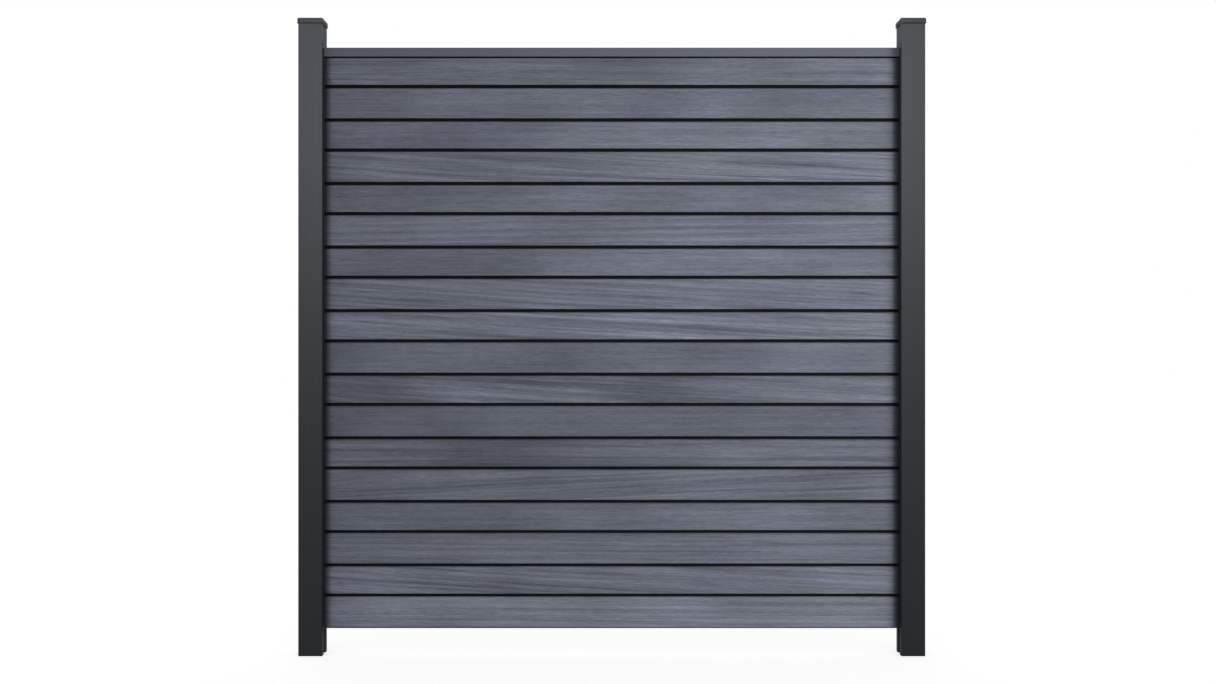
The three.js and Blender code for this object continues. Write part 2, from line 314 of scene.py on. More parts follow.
class SweepRule(GeometryRule):
    """Sweeps drawn outlines upwards, closes the ends and turns the whole into place."""

    MERGE_DISTANCE = 1e-6

    def __init__(self, name: str) -> None:
        """Starts a tree with the inputs of every sweep.

        Args:
            name: The tree's name.
        """
        super().__init__(name)
        self.start = self.size("Start")
        self.length = self.size("Length")
        self.steps = self.size("Steps", "Int")
        self.turn = self.size("Turn", "Vector")
        self.finish = self.size("Finish", "Material")
        self.cut_finish = self.size("Cut finish", "Material")

    def ends(self) -> tuple[Term, Term]:
        """The places of the lower and the upper end."""
        return self.vector(z=self.start), self.vector(z=self.start + self.length)

    def wall(self, outline: Term, steps: Operand) -> Term:
        """Sweeps closed outlines from one end to the other.

        Args:
            outline: Closed curves drawn in X and Y.
            steps: Number of equal steps in the sweep.

        Returns:
            The open wall.
        """
        places = dict(zip(("Start", "End"), self.ends()))
        line = self.node("GeometryNodeCurvePrimitiveLine", {"mode": "POINTS"}, places)
        cuts = {"Curve": line, "Count": steps + 1}
        spine = self.node("GeometryNodeResampleCurve", {"mode": "COUNT"}, cuts)
        return self.node("GeometryNodeCurveToMesh", inputs={"Curve": spine, "Profile Curve": outline})

    def end_faces(self, outline: Term) -> list[Term]:
        """Faces that close both ends of a sweep, marked as cut.

        Args:
            outline: Its closed curves.

        Returns:
            The lower and the upper faces.
        """
        face = self.node("GeometryNodeFillCurve", {"mode": "TRIANGLES"}, {"Curve": outline})
        face = self.store(face, "cut_end", True, "BOOLEAN", "FACE")
        foot, head = (self.moved(face, Translation=place) for place in self.ends())
        return [self.node("GeometryNodeFlipFaces", inputs={0: foot}), head]

    def closed(self, parts: list[Term]) -> Term:
        """Joins the parts of a sweep into one closed surface and turns it into place.

        Args:
            parts: Its walls and end faces.

        Returns:
            The closed surface.
        """
        joined = self.node("GeometryNodeJoinGeometry", inputs={0: parts})
        values = {"Geometry": joined, "Distance": self.MERGE_DISTANCE}
        merged = self.node("GeometryNodeMergeByDistance", inputs=values)
        return self.moved(merged, Rotation=self.rotation(self.turn))

    def dress(self, solid: Term) -> None:
        """Ends the tree with the finish of the skin and that of the cut ends."""
        self.give(solid, (self.finish, ""), (self.cut_finish, "cut_end"))


class ExtrusionRule(SweepRule):
    """Extrudes a drawn section in one step."""

    def __init__(self) -> None:
        """Builds the tree."""
        super().__init__("extruded_section")
        outline = self.curves(self.drawn)
        self.dress(self.closed([self.wall(outline, self.steps), *self.end_faces(outline)]))

    def extrude(
        self,
        outlines: Sequence[Outline],
        span: Point,
        axis: Axis,
        coat: bpy.types.Material,
        cut: bpy.types.Material,
    ) -> bpy.types.Mesh:
        """Extrudes a section.

        Args:
            outlines: The section, in its place.
            span: Where the extrusion starts and ends along its axis.
            axis: Its direction.
            coat: Finish of its skin.
            cut: Finish of its ends.

        Returns:
            The mesh, in its place.
        """
        return self.run(section_mesh(outlines), {
            "Start": span[0],
            "Length": span[1] - span[0],
            "Steps": 1,
            "Turn": axis.value,
            "Finish": coat,
            "Cut finish": cut,
        })


class DrillRule(GeometryRule):
    """Drills rows of holes along X through a mesh."""

    HOLE_SIDES = 24

    def __init__(self) -> None:
        """Builds the tree."""
        super().__init__("drilled_rows")
        radius = self.size("Hole radius")
        depth = self.size("Hole depth")
        centre_x = self.size("Hole X")
        row_heights = [self.size("Lower row Z"), self.size("Upper row Z")]
        pitch = self.size("Pitch")
        count = self.size("Holes in a row", "Int")
        finish = self.size("Hole finish", "Material")
        sizes = {"Vertices": self.HOLE_SIDES, "Radius": radius, "Depth": depth}
        bar = self.node("GeometryNodeMeshCylinder", inputs=sizes)
        bar = self.store(bar, "hole_wall", True, "BOOLEAN", "FACE")
        quarter_turn = self.vector(y=math.pi / 2)
        rows = []
        for height in row_heights:
            row = self.node("GeometryNodeMeshLine", {"mode": "OFFSET"}, {
                "Count": count,
                "Start Location": self.vector(centre_x, 0.0, height),
                "Offset": self.vector(z=pitch),
            })
            rows.append(self.instances(bar, row, quarter_turn))
        drills = self.node("GeometryNodeJoinGeometry", inputs={0: rows})
        drills = self.node("GeometryNodeRealizeInstances", inputs={0: drills})
        cutters = {"Mesh 1": self.drawn, "Mesh 2": drills}
        settings = {"operation": "DIFFERENCE", "solver": "EXACT"}
        self.give(self.node("GeometryNodeMeshBoolean", settings, cutters), (finish, "hole_wall"))


class ScatterRule(GeometryRule):
    """Sets copies of one object at drawn points, each turned by the point's own facing angle."""

    def __init__(self) -> None:
        """Builds the tree."""
        super().__init__("set_screws")
        template = self.size("Template", "Object")
        finish = self.size("Finish", "Material")
        shape = self.node("GeometryNodeObjectInfo", inputs={"Object": template}, output="Geometry")
        facing = self.vector(z=self.named("facing"))
        self.give(self.instances(shape, self.drawn, facing), (finish, ""))


class BoardRule(SweepRule):
    """Extrudes a board along X, presses the grain of its two slats in and keeps it for the finish.

    The flow of the grain is a vector: the way along the board, the way across the grain, and a
    number that is the slat's own. Lines of equal second value are the lines of the grain.
    """

    BEND = 0.11  # the grain falls faster on the left than on the right, per metre
    SWAY = 0.010  # how far a strong grain wanders
    CALMEST = 0.4  # and what a grain of no strength wanders, against that
    SWAY_LUMPS = (1.3, 5.0, 1.0)
    BAND_LUMPS = (1.1, 85.0, 1.0)
    BAND_OCTAVES = (3.0, 0.55)  # their number and their strength
    UPPER_SEED = 0.5  # added to a board's own number for its upper slat
    SWAY_SPREAD, FLOW_SPREAD = 17.0, 31.0  # keep the noise of one slat away from the next one's
    GROOVE_FLOOR_REACH = (0.0036, 0.0066)  # distance from the middle over which the near-black core colour, painted on the groove floors as their shade, turns to skin
    FACE_MARGIN = 0.00002  # what is this near to the face is on it
    WEAKEST_PRESS = 0.45  # depth of a grain of no strength, against the full depth
    PRESSED_BANDS = (0.35, 0.65)  # values of the bands from unpressed to fully pressed

    def __init__(self) -> None:
        """Builds the tree."""
        super().__init__("grained_board")
        base = self.size("Base Z")
        split = self.size("Slat split")
        half = self.size("Half thickness")
        depth = self.size("Relief depth")
        seed = self.size("Seed")
        traits = ("fall", "strength", "tone", "foot", "top")
        slats = [[self.size(f"{slat} {trait}") for trait in traits] for slat in ("Lower", "Upper")]

        solid = self.moved(self.closed(self._parts()), Translation=self.vector(z=base))

        place = self.node("ShaderNodeSeparateXYZ", inputs={0: self.node("GeometryNodeInputPosition")})
        along, side, height = place, place.output("Y"), place.output("Z") - base
        is_upper = height.math("GREATER_THAN", split)
        fall, strength, tone, foot, top = (low + (high - low) * is_upper for low, high in zip(*slats))
        own = seed + is_upper * self.UPPER_SEED
        sway = self.noise(self.vector(along, height, own * self.SWAY_SPREAD), self.SWAY_LUMPS)
        lines = height + fall * along * (1.0 - along * self.BEND)
        lines = lines + sway.swing(self.SWAY) * (self.CALMEST + strength)
        flow = self.vector(along, lines, own * self.FLOW_SPREAD)

        # Painted shade: the groove floors take the near-black core colour.
        groove_floor_shade = self.ramp(abs(side), *self.GROOVE_FLOOR_REACH, 1.0, 0.0)
        solid = self.store(solid, "grain_flow", flow, "FLOAT_VECTOR")
        for name, value in (
            ("core", groove_floor_shade.math("MAXIMUM", self.named("hidden"))),
            ("grain_strength", strength),
            ("slat_tone", tone),
            ("slat_rise", height - foot),
            ("slat_drop", top - height),
        ):
            solid = self.store(solid, name, value, "FLOAT")

        bands = self.noise(flow, self.BAND_LUMPS, *self.BAND_OCTAVES)
        on_face = abs(side).math("GREATER_THAN", half - self.FACE_MARGIN)
        press = depth * (self.WEAKEST_PRESS + (1.0 - self.WEAKEST_PRESS) * strength)
        press = press * self.ramp(bands, *self.PRESSED_BANDS) * on_face
        inward = self.vector(y=0.0 - press * side.math("SIGN"))
        self.dress(self.node("GeometryNodeSetPosition", inputs={"Geometry": solid, "Offset": inward}))

    def _parts(self) -> list[Term]:
        """Makes the board's skin in fine steps, the walls of its chambers in one, and its ends.

        Returns:
            The walls and the end faces.
        """
        chosen = {"Geometry": self.drawn, "Selection": self.named("hidden")}
        chambers = self.node("GeometryNodeSeparateGeometry", {"domain": "POINT"}, chosen)
        skin = self.curves(chambers.output("Inverted"))
        return [
            self.wall(skin, self.steps),
            self.wall(self.curves(chambers), 1),
            *self.end_faces(self.curves(self.drawn)),
        ]


# ---- Drawing ----


def angles(sweep: float, steps: int) -> list[float]:
    """Angles from 0 to a sweep in equal steps, with both ends."""
    return [sweep * step / steps for step in range(steps + 1)]


def arc(x: float, y: float, radius: float, turns: Iterable[float]) -> Outline:
    """The points round a centre at some angles."""
    return [(x + radius * math.cos(turn), y + radius * math.sin(turn)) for turn in turns]


def rectangle(low: Point, high: Point, radius: float = 0.0) -> list[Corner]:
    """The corners of a rectangle, counterclockwise from its lowest, with one radius for all."""
    (left, bottom), (right, top) = low, high
    return [(x, y, radius) for x, y in ((left, bottom), (right, bottom), (right, top), (left, top))]


def mirrored(half: Sequence[Corner]) -> list[Corner]:
    """Half an outline on the +X side, and its mirror image after it."""
    return [*half, *((-corner[0], *corner[1:]) for corner in reversed(half))]


def rounded(corners: Sequence[Corner], arc_steps: int = 6) -> Outline:
    """Draws a closed outline through corners.

    Args:
        corners: The corners in order, each with a radius or without.
        arc_steps: Straight steps on each rounded corner.

    Returns:
        The outline's points.
    """
    points: Outline = []
    for index, corner in enumerate(corners):
        tip = Vector(corner[:2])
        radius = corner[2] if len(corner) > 2 else 0.0
        if radius == 0.0:
            points.append(tuple(tip))
            continue
        back = (Vector(corners[index - 1][:2]) - tip).normalized()
        ahead = (Vector(corners[(index + 1) % len(corners)][:2]) - tip).normalized()
        half_angle = back.angle(ahead) / 2
        centre = tip + (back + ahead).normalized() * radius / math.sin(half_angle)
        first = tip + back * radius / math.tan(half_angle) - centre
        last = tip + ahead * radius / math.tan(half_angle) - centre
        sweep = first.angle(last)
        for step in range(arc_steps + 1):
            share = step / arc_steps
            arm = first * math.sin((1 - share) * sweep) + last * math.sin(share * sweep)
            points.append(tuple(centre + arm / math.sin(sweep)))
    return points


def divided(points: Outline, longest: float, margin: float = 0.0004) -> Outline:
    """Adds points to an outline, so that shading stays flat beside its rounded corners.

    Args:
        points: The outline.
        longest: Longest straight step that may stay.
        margin: Length of the first and last step of every longer run.

    Returns:
        The outline with its new points.
    """
    fuller: Outline = []
    for start, end in zip(points, points[1:] + points[:1]):
        run = Vector(end) - Vector(start)
        fuller.append(start)
        if run.length <= 4 * margin:
            continue
        inner = run.length - 2 * margin
        pieces = max(1, math.ceil(inner / longest))
        for index in range(pieces + 1):
            fuller.append(tuple(Vector(start) + run.normalized() * (margin + inner * index / pieces)))
    return fuller


def quads(rings: Sequence[int], count: int) -> list[Face]:
    """Draws the faces between each ring of vertices and the next one.

    Args:
        rings: Number of each ring's first vertex.
        count: Number of vertices in a ring.

    Returns:
        The faces.
    """
    faces: list[Face] = []
    for a, b in zip(rings, rings[1:]):
        for step in range(count):
            after = (step + 1) % count
            faces.append((a + step, a + after, b + after, b + step))
    return faces


def section_mesh(outlines: Iterable[Outline], hidden: Sequence[float] = ()) -> bpy.types.Mesh:
    """A mesh of closed outlines: the first one runs round the section, and the others are its holes.

    Args:
        outlines: The outlines in X and Y, in either direction.
        hidden: For each outline, 1 where its wall is out of sight and can be coarse.

    Returns:
        The mesh, which has edges and no faces.
    """
    vertices: list[Point3] = []
    edges: list[tuple[int, int]] = []
    marks: list[float] = []
    for number, outline in enumerate(outlines):
        area = sum(a[0] * b[1] - b[0] * a[1] for a, b in zip(outline, outline[1:] + outline[:1]))
        ordered = outline if (area > 0) == (number == 0) else outline[::-1]
        first = len(vertices)
        vertices += [(x, y, 0.0) for x, y in ordered]
        edges += [(first + i, first + (i + 1) % len(ordered)) for i in range(len(ordered))]
        marks += [hidden[number] if hidden else 0.0] * len(ordered)
    mesh = new_mesh("section", vertices, edges=edges)
    mesh.attributes.new("hidden", "FLOAT", "POINT").data.foreach_set("value", marks)
    return mesh


def new_mesh(
    name: str,
    vertices: Sequence[Point3],
    edges: Sequence[tuple[int, int]] = (),
    faces: Sequence[Face] = (),
) -> bpy.types.Mesh:
    """Makes a mesh from plain lists.

    Args:
        name: Its name.
        vertices: Its points.
        edges: Its loose edges.
        faces: Its faces.

    Returns:
        The mesh.
    """
    mesh = bpy.data.meshes.new(name)
    mesh.from_pydata(vertices, edges, faces)
    return mesh


def add_object(name: str, data: bpy.types.ID) -> bpy.types.Object:
    """Adds an object to the scene.

    Args:
        name: Its name.
        data: Its mesh, lamp or camera.

    Returns:
        The object.
    """
    made = bpy.data.objects.new(name, data)
    bpy.context.scene.collection.objects.link(made)
    return made


def soften(mesh: bpy.types.Mesh, sharpest: float = math.radians(32)) -> None:
    """Shades a mesh smooth, apart from edges sharper than an angle."""
    mesh.polygons.foreach_set("use_smooth", [True] * len(mesh.polygons))
    mesh.set_sharp_from_angle(angle=sharpest)


def place_piece(name: str, mesh: bpy.types.Mesh, slot: str, nodes: Sequence[str]) -> bpy.types.Object:
    """Adds a finished piece to the scene.

    Args:
        name: Its name.
        mesh: Its mesh, with its place in it.
        slot: Not used.
        nodes: Nodes of the frame that it stands for.

    Returns:
        The piece.
    """
    soften(mesh)
    mesh.name = name
    piece = add_object(name, mesh)
    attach(piece, "root")
    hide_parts(*nodes)
    return piece


# ---- Finishes ----


def paint(red: int, green: int, blue: int) -> Colour:
    """A colour from its 8-bit values on a screen."""
    channels = (value / 255 for value in (red, green, blue))
    return (*(((v + 0.055) / 1.055) ** 2.4 if v > 0.04045 else v / 12.92 for v in channels), 1.0)


class Surface(Graph):
    """The node tree of one material, round its Principled shader."""

    def __init__(self, name: str, **constants: float) -> None:
        """Starts a material.

        Args:
            name: Its name.
            constants: Values of the shader's own sockets, with _ for each space in their names.
        """
        self.material = bpy.data.materials.new(name)
        self.material.use_nodes = True
        super().__init__(self.material.node_tree)
        self.shader = self.tree.nodes["Principled BSDF"]
        for socket, value in constants.items():
            self.shader.inputs[socket.replace("_", " ")].default_value = value
        self.place = self.node("ShaderNodeTexCoord", output="Object")

    def attribute(self, name: str, output: str = "Fac") -> Term:
        """A value that the mesh carries under a name."""
        return self.node("ShaderNodeAttribute", {"attribute_name": name}, output=output)

    def tinted(self, colour: Tint, factor: Term) -> Term:
        """A colour made lighter or darker by a factor."""
        base = colour if isinstance(colour, Term) else colour[:3]
        return self.node("ShaderNodeVectorMath", {"operation": "SCALE"}, {0: base, "Scale": factor})

    def mixed(self, factor: Term, first: Tint, second: Tint) -> Term:
        """The first colour where the factor is 0, and the second one where it is 1."""
        return self.node("ShaderNodeMix", {"data_type": "RGBA"}, {0: factor, 6: first, 7: second}, 2)

    def feed(self, socket: str, term: Term) -> None:
        """Links a term to one of the shader's sockets."""
        self.tree.links.new(term.socket, self.shader.inputs[socket])

    def raise_by(self, *layers: tuple[Term, float]) -> None:
        """Gives the shader a bumpy normal.

        Args:
            layers: Heights from 0 to 1, each with the real size of its full range in metres.
        """
        normal = None
        for height, size in layers:
            values = {"Height": height, "Distance": size, "Strength": 1.0}
            if normal is not None:
                values["Normal"] = normal
            normal = self.node("ShaderNodeBump", inputs=values)
        self.feed("Normal", normal)


@dataclass(frozen=True)
class CompositeSkin:
    """Brushed wood composite with a pressed grain over a near-black core, which is painted on the groove
    floors as their shade.

    Each noise is given its lumps along the grain, across it and from slat to slat.
    """

    clear_half: float  # half the clear width between the posts
    skin: Colour = paint(104, 107, 121)
    cool: Colour = paint(101, 106, 114)
    # near-black core colour, also painted on the groove floors as their shade
    core: Colour = paint(9, 9, 12)
    band_contrast: float = 1.75
    ring_contrast: float = 0.26
    streak_contrast: float = 0.60
    fine_contrast: float = 0.70
    fleck_contrast: float = 0.22
    cloud_contrast: float = 0.16
    blotch_contrast: float = 0.85
    corner_shade: float = 0.10  # painted shade: what stays of the colour in the corner beside a post
    corner_reach: float = 0.030
    groove_shade: float = 0.80  # painted shade: what stays of the colour at the top of a slat, under the groove
    groove_reach: Point = (-0.002, 0.005)  # from above the slat's edge to below it
    foot_sheen: float = 1.05  # painted highlight: the lift of the colour on the lower edge of a slat
    foot_reach: float = 0.004
    roughness: float = 0.62
    fibre_roughness: float = 0.2
    core_roughness: float = 0.15  # added where the core colour is, on the painted groove floors and in the chambers
    fibre_depth: float = 0.00012
    fine_depth: float = 0.00025
    fleck_depth: float = 0.00012

    def make(self) -> bpy.types.Material:
        """Builds the material."""
        surface = Surface("wood_composite", Specular_IOR_Level=0.1)
        flow = surface.attribute("grain_flow", "Vector")
        strength = surface.attribute("grain_strength")
        tone = surface.attribute("slat_tone")
        core = surface.attribute("core")

        bands = surface.noise(flow, BoardRule.BAND_LUMPS, *BoardRule.BAND_OCTAVES)
        rings = surface.noise(flow, (0.8, 46.0, 1.7), 2.0, 0.4)
        patch = surface.noise(flow, (4.0, 20.0, 2.3), 1.0)
        streak = surface.noise(flow, (11.0, 230.0, 1.0), 2.0, 0.55)
        fine = surface.noise(flow, (36.0, 330.0, 1.0), 2.0, 0.6)
        fleck = surface.ramp(surface.noise(flow, (55.0, 480.0, 1.0), 1.0), 0.60, 0.74)
        cloud = surface.noise(flow, (2.2, 9.0, 1.0))
        blotch = surface.noise(flow, (2.4, 4.0, 5.0), 1.0)
        fibre = surface.noise(flow, (60.0, 1500.0, 1.0), 2.0, 0.6)

        ring = surface.ramp(abs(rings - 0.5), 0.0, 0.03, 1.0, 0.0) * surface.ramp(patch, 0.42, 0.62)
        shade = tone * (1.0 + bands.swing(strength) * self.band_contrast)
        shade = shade * (1.0 - ring * strength * self.ring_contrast)
        shade = shade * (1.0 + streak.swing(self.streak_contrast) + fine.swing(self.fine_contrast))
        shade = shade * (1.0 + cloud.swing(self.cloud_contrast)) * (1.0 - fleck * self.fleck_contrast)
        shade = shade * (1.0 + blotch.swing(self.blotch_contrast))

        across = surface.node("ShaderNodeSeparateXYZ", inputs={0: surface.place})
        inside = self.clear_half - abs(across)
        drop, rise = surface.attribute("slat_drop"), surface.attribute("slat_rise")
        # Painted shade in the corner beside each post.
        shade = shade * surface.ramp(inside, 0.0, self.corner_reach, self.corner_shade)
        # Painted shade at the top of each slat, under the groove.
        shade = shade * surface.ramp(drop, *self.groove_reach, self.groove_shade)
        # Painted highlight on the lower edge of each slat.
        shade = shade * surface.ramp(rise, 0.0, self.foot_reach, self.foot_sheen)
        mottle = surface.mixed(surface.ramp(cloud, 0.35, 0.7), self.skin, self.cool)
        surface.feed("Base Color", surface.mixed(core, surface.tinted(mottle, shade), self.core))
        dullness = self.roughness + fibre.swing(self.fibre_roughness) + core * self.core_roughness
        surface.feed("Roughness", dullness)
        pits = 1.0 - fleck
        surface.raise_by((fibre, self.fibre_depth), (fine, self.fine_depth), (pits, self.fleck_depth))
        return surface.material


@dataclass(frozen=True)
class PowderCoat:
    """Satin powder coat on an extruded profile: orange peel over faint die lines, with painted shadow
    under the cap and painted shade on the posts' lips.
    """

    name: str
    colour: Colour
    line_lumps: Point3  # of the die lines, which run where this is small
    line_contrast: float = 0.16
    broad_contrast: float = 0.22  # of wider bands along the die lines
    cloud_contrast: float = 0.10
    grit_contrast: float = 0.08
    line_depth: float = 0.00010
    peel_depth: float = 0.00005
    grit_depth: float = 0.00001
    roughness: float = 0.62
    specular: float = 0.04
    cap_shadow_z: float = -1.0  # height of the painted shadow under the cap's overhang, or below the ground for none
    cap_shadow_half: float = 0.0045
    cap_shadow_level: float = 0.55  # what stays of the colour in that painted shadow
    lip_half: float = -1.0  # half the clear width between the posts' lips, or below 0 for none
    lip_edge: Point = (0.0002, 0.0012)  # depth behind the lips' faces over which their painted shade ends
    lip_top: float = 0.0  # height of the rail, above which the lips' faces have no painted shade
    lip_fade: float = 0.03  # height over which they turn from dark to open there
    lip_shade: float = 0.45  # painted shade: what stays of the colour on the lips' faces

    def make(self) -> bpy.types.Material:
        """Builds the material."""
        surface = Surface(self.name, Specular_IOR_Level=self.specular)
        place = surface.place
        peel = surface.noise(place, 650.0, 1.0)
        grit = surface.noise(place, 2600.0, 1.0)
        lines = surface.noise(place, self.line_lumps, 2.0, 0.6)
        cloud = surface.noise(place, 3.0)
        broad = surface.noise(place, tuple(lumps / 6 for lumps in self.line_lumps), 1.0)
        shade = 1.0 + lines.swing(self.line_contrast) + cloud.swing(self.cloud_contrast)
        shade = shade + grit.swing(self.grit_contrast) + broad.swing(self.broad_contrast)
        across = surface.node("ShaderNodeSeparateXYZ", inputs={0: place})
        height = across.output("Z")
        # Painted shadow under the cap's overhang.
        painted_cap_shadow = surface.ramp(abs(height - self.cap_shadow_z), 0.0, self.cap_shadow_half, self.cap_shadow_level)
        # Painted shade on the inner faces of the posts' lips, below the rail.
        lips = surface.ramp(abs(across) - self.lip_half, *self.lip_edge, self.lip_shade)
        lips = lips + (1.0 - lips) * surface.ramp(height - self.lip_top, 0.0, self.lip_fade)
        surface.feed("Base Color", surface.tinted(self.colour, shade * painted_cap_shadow * lips))
        surface.feed("Roughness", self.roughness + peel.swing(0.10) + cloud.swing(0.08))
        surface.raise_by((lines, self.line_depth), (peel, self.peel_depth), (grit, self.grit_depth))
        return surface.material


@dataclass(frozen=True)
class BareMetal:
    """Metal with no coat: fine marks in one direction under soft smears."""

    name: str
    colour: Colour
    mark_lumps: Point3  # which run where this is small
    smear_lumps: float
    smear_octaves: float
    lightness: float
    mark_contrast: float
    smear_contrast: float
    roughness: float
    mark_roughness: float
    smear_roughness: float
    mark_depth: float

    def make(self) -> bpy.types.Material:
        """Builds the material."""
        surface = Surface(self.name, Metallic=1.0)
        marks = surface.noise(surface.place, self.mark_lumps, 2.0, 0.6)
        smears = surface.noise(surface.place, self.smear_lumps, self.smear_octaves)
        shade = self.lightness + marks.swing(self.mark_contrast) + smears.swing(self.smear_contrast)
        surface.feed("Base Color", surface.tinted(self.colour, shade))
        dullness = marks.swing(self.mark_roughness) + smears.swing(self.smear_roughness)
        surface.feed("Roughness", self.roughness + dullness)
        surface.raise_by((marks, self.mark_depth))
        return surface.material


@dataclass(frozen=True)
class CutComposite:
    """The sawn end of a board: a dark filled core with pale wood flour specks."""

    core: Colour = paint(34, 34, 37)
    speck: Colour = paint(92, 90, 88)
    roughness: float = 0.8
    speck_roughness: float = 0.2
    speck_depth: float = 0.0002

    def make(self) -> bpy.types.Material:
        """Builds the material."""
        surface = Surface("sawn_composite", Specular_IOR_Level=0.15)
        specks = surface.noise(surface.place, 900.0, 2.0, 0.7)
        surface.feed("Base Color", surface.mixed(surface.ramp(specks, 0.56, 0.7), self.core, self.speck))
        surface.feed("Roughness", self.roughness + specks.swing(self.speck_roughness))
        surface.raise_by((specks, self.speck_depth))
        return surface.material


@dataclass(frozen=True)
class SealRubber:
    """Black rubber with a dull bloom."""

    colour: Colour = paint(17, 17, 19)
    bloom: Colour = paint(34, 35, 37)
    roughness: float = 0.72
    dust_roughness: float = 0.25
    skin_depth: float = 0.00004

    def make(self) -> bpy.types.Material:
        """Builds the material."""
        surface = Surface("seal_rubber", Specular_IOR_Level=0.2)
        dust = surface.noise(surface.place, (40.0, 40.0, 12.0), 4.0, 0.65)
        skin = surface.noise(surface.place, (1800.0, 1800.0, 600.0))
        surface.feed("Base Color", surface.mixed(surface.ramp(dust, 0.45, 0.8), self.colour, self.bloom))
        surface.feed("Roughness", self.roughness + dust.swing(self.dust_roughness))
        surface.raise_by((skin, self.skin_depth))
        return surface.material


@dataclass
class Finishes:
    """Every material of the screen, made once."""

    composite: bpy.types.Material = field(init=False)
    composite_cut: bpy.types.Material = field(init=False)
    post_coat: bpy.types.Material = field(init=False)
    cap_coat: bpy.types.Material = field(init=False)
    rail_coat: bpy.types.Material = field(init=False)
    base_coat: bpy.types.Material = field(init=False)
    bare: bpy.types.Material = field(init=False)
    rubber: bpy.types.Material = field(init=False)
    steel: bpy.types.Material = field(init=False)

    def __post_init__(self) -> None:
        """Makes the materials."""
        dark, cap_dark, rail_grey = paint(59, 62, 65), paint(56, 59, 62), paint(98, 101, 112)
        upright, level, cast = (420.0, 420.0, 0.7), (0.7, 420.0, 420.0), (60.0, 60.0, 60.0)
        clear_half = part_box("post_right")[0].x
        # Height of the painted shadow under the caps.
        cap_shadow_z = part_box("post_cap_left")[1].z - EndPost.cap_rise - EndPost.cap_skirt
        rail_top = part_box("top_rail")[1].z
        self.composite = CompositeSkin(clear_half).make()
        self.composite_cut = CutComposite().make()
        self.post_coat = PowderCoat(
            "post_powder_coat", dark, upright, cap_shadow_z=cap_shadow_z, lip_half=clear_half, lip_top=rail_top
        ).make()
        self.cap_coat = PowderCoat("cap_powder_coat", cap_dark, cast, cap_shadow_z=cap_shadow_z).make()
        self.base_coat = PowderCoat("base_powder_coat", dark, level).make()
        self.rail_coat = PowderCoat(
            "rail_powder_coat", rail_grey, level, roughness=0.48, specular=0.15
        ).make()
        self.bare = BareMetal(
            "sawn_aluminium", paint(178, 180, 182), mark_lumps=(120.0, 2400.0, 120.0),
            smear_lumps=60.0, smear_octaves=2.0, lightness=0.9, mark_contrast=0.3, smear_contrast=0.1,
            roughness=0.42, mark_roughness=0.25, smear_roughness=0.0, mark_depth=0.00004,
        ).make()
        self.steel = BareMetal(
            "brushed_steel", paint(186, 187, 186), mark_lumps=(1700.0, 60.0, 1700.0),
            smear_lumps=70.0, smear_octaves=3.0, lightness=0.92, mark_contrast=0.2, smear_contrast=0.1,
            roughness=0.34, mark_roughness=0.2, smear_roughness=0.15, mark_depth=0.00002,
        ).make()
        self.rubber = SealRubber().make()


# ---- Boards, start profile and top rail ----


class Grain(Enum):
    """Grain pressed into a slat: how far it falls for each metre to the right, and how strong it is."""

    PLAIN = (0.002, 0.3)
    STREAKED = (0.006, 0.7)
    FLOWING = (0.052, 1.0)
    LIFTING = (-0.016, 0.65)
    RISING = (-0.045, 0.85)


@dataclass(frozen=True)
class Slat:
    """One slat of the stack."""

    grain: Grain
    tone: float  # lightness against the finish's own


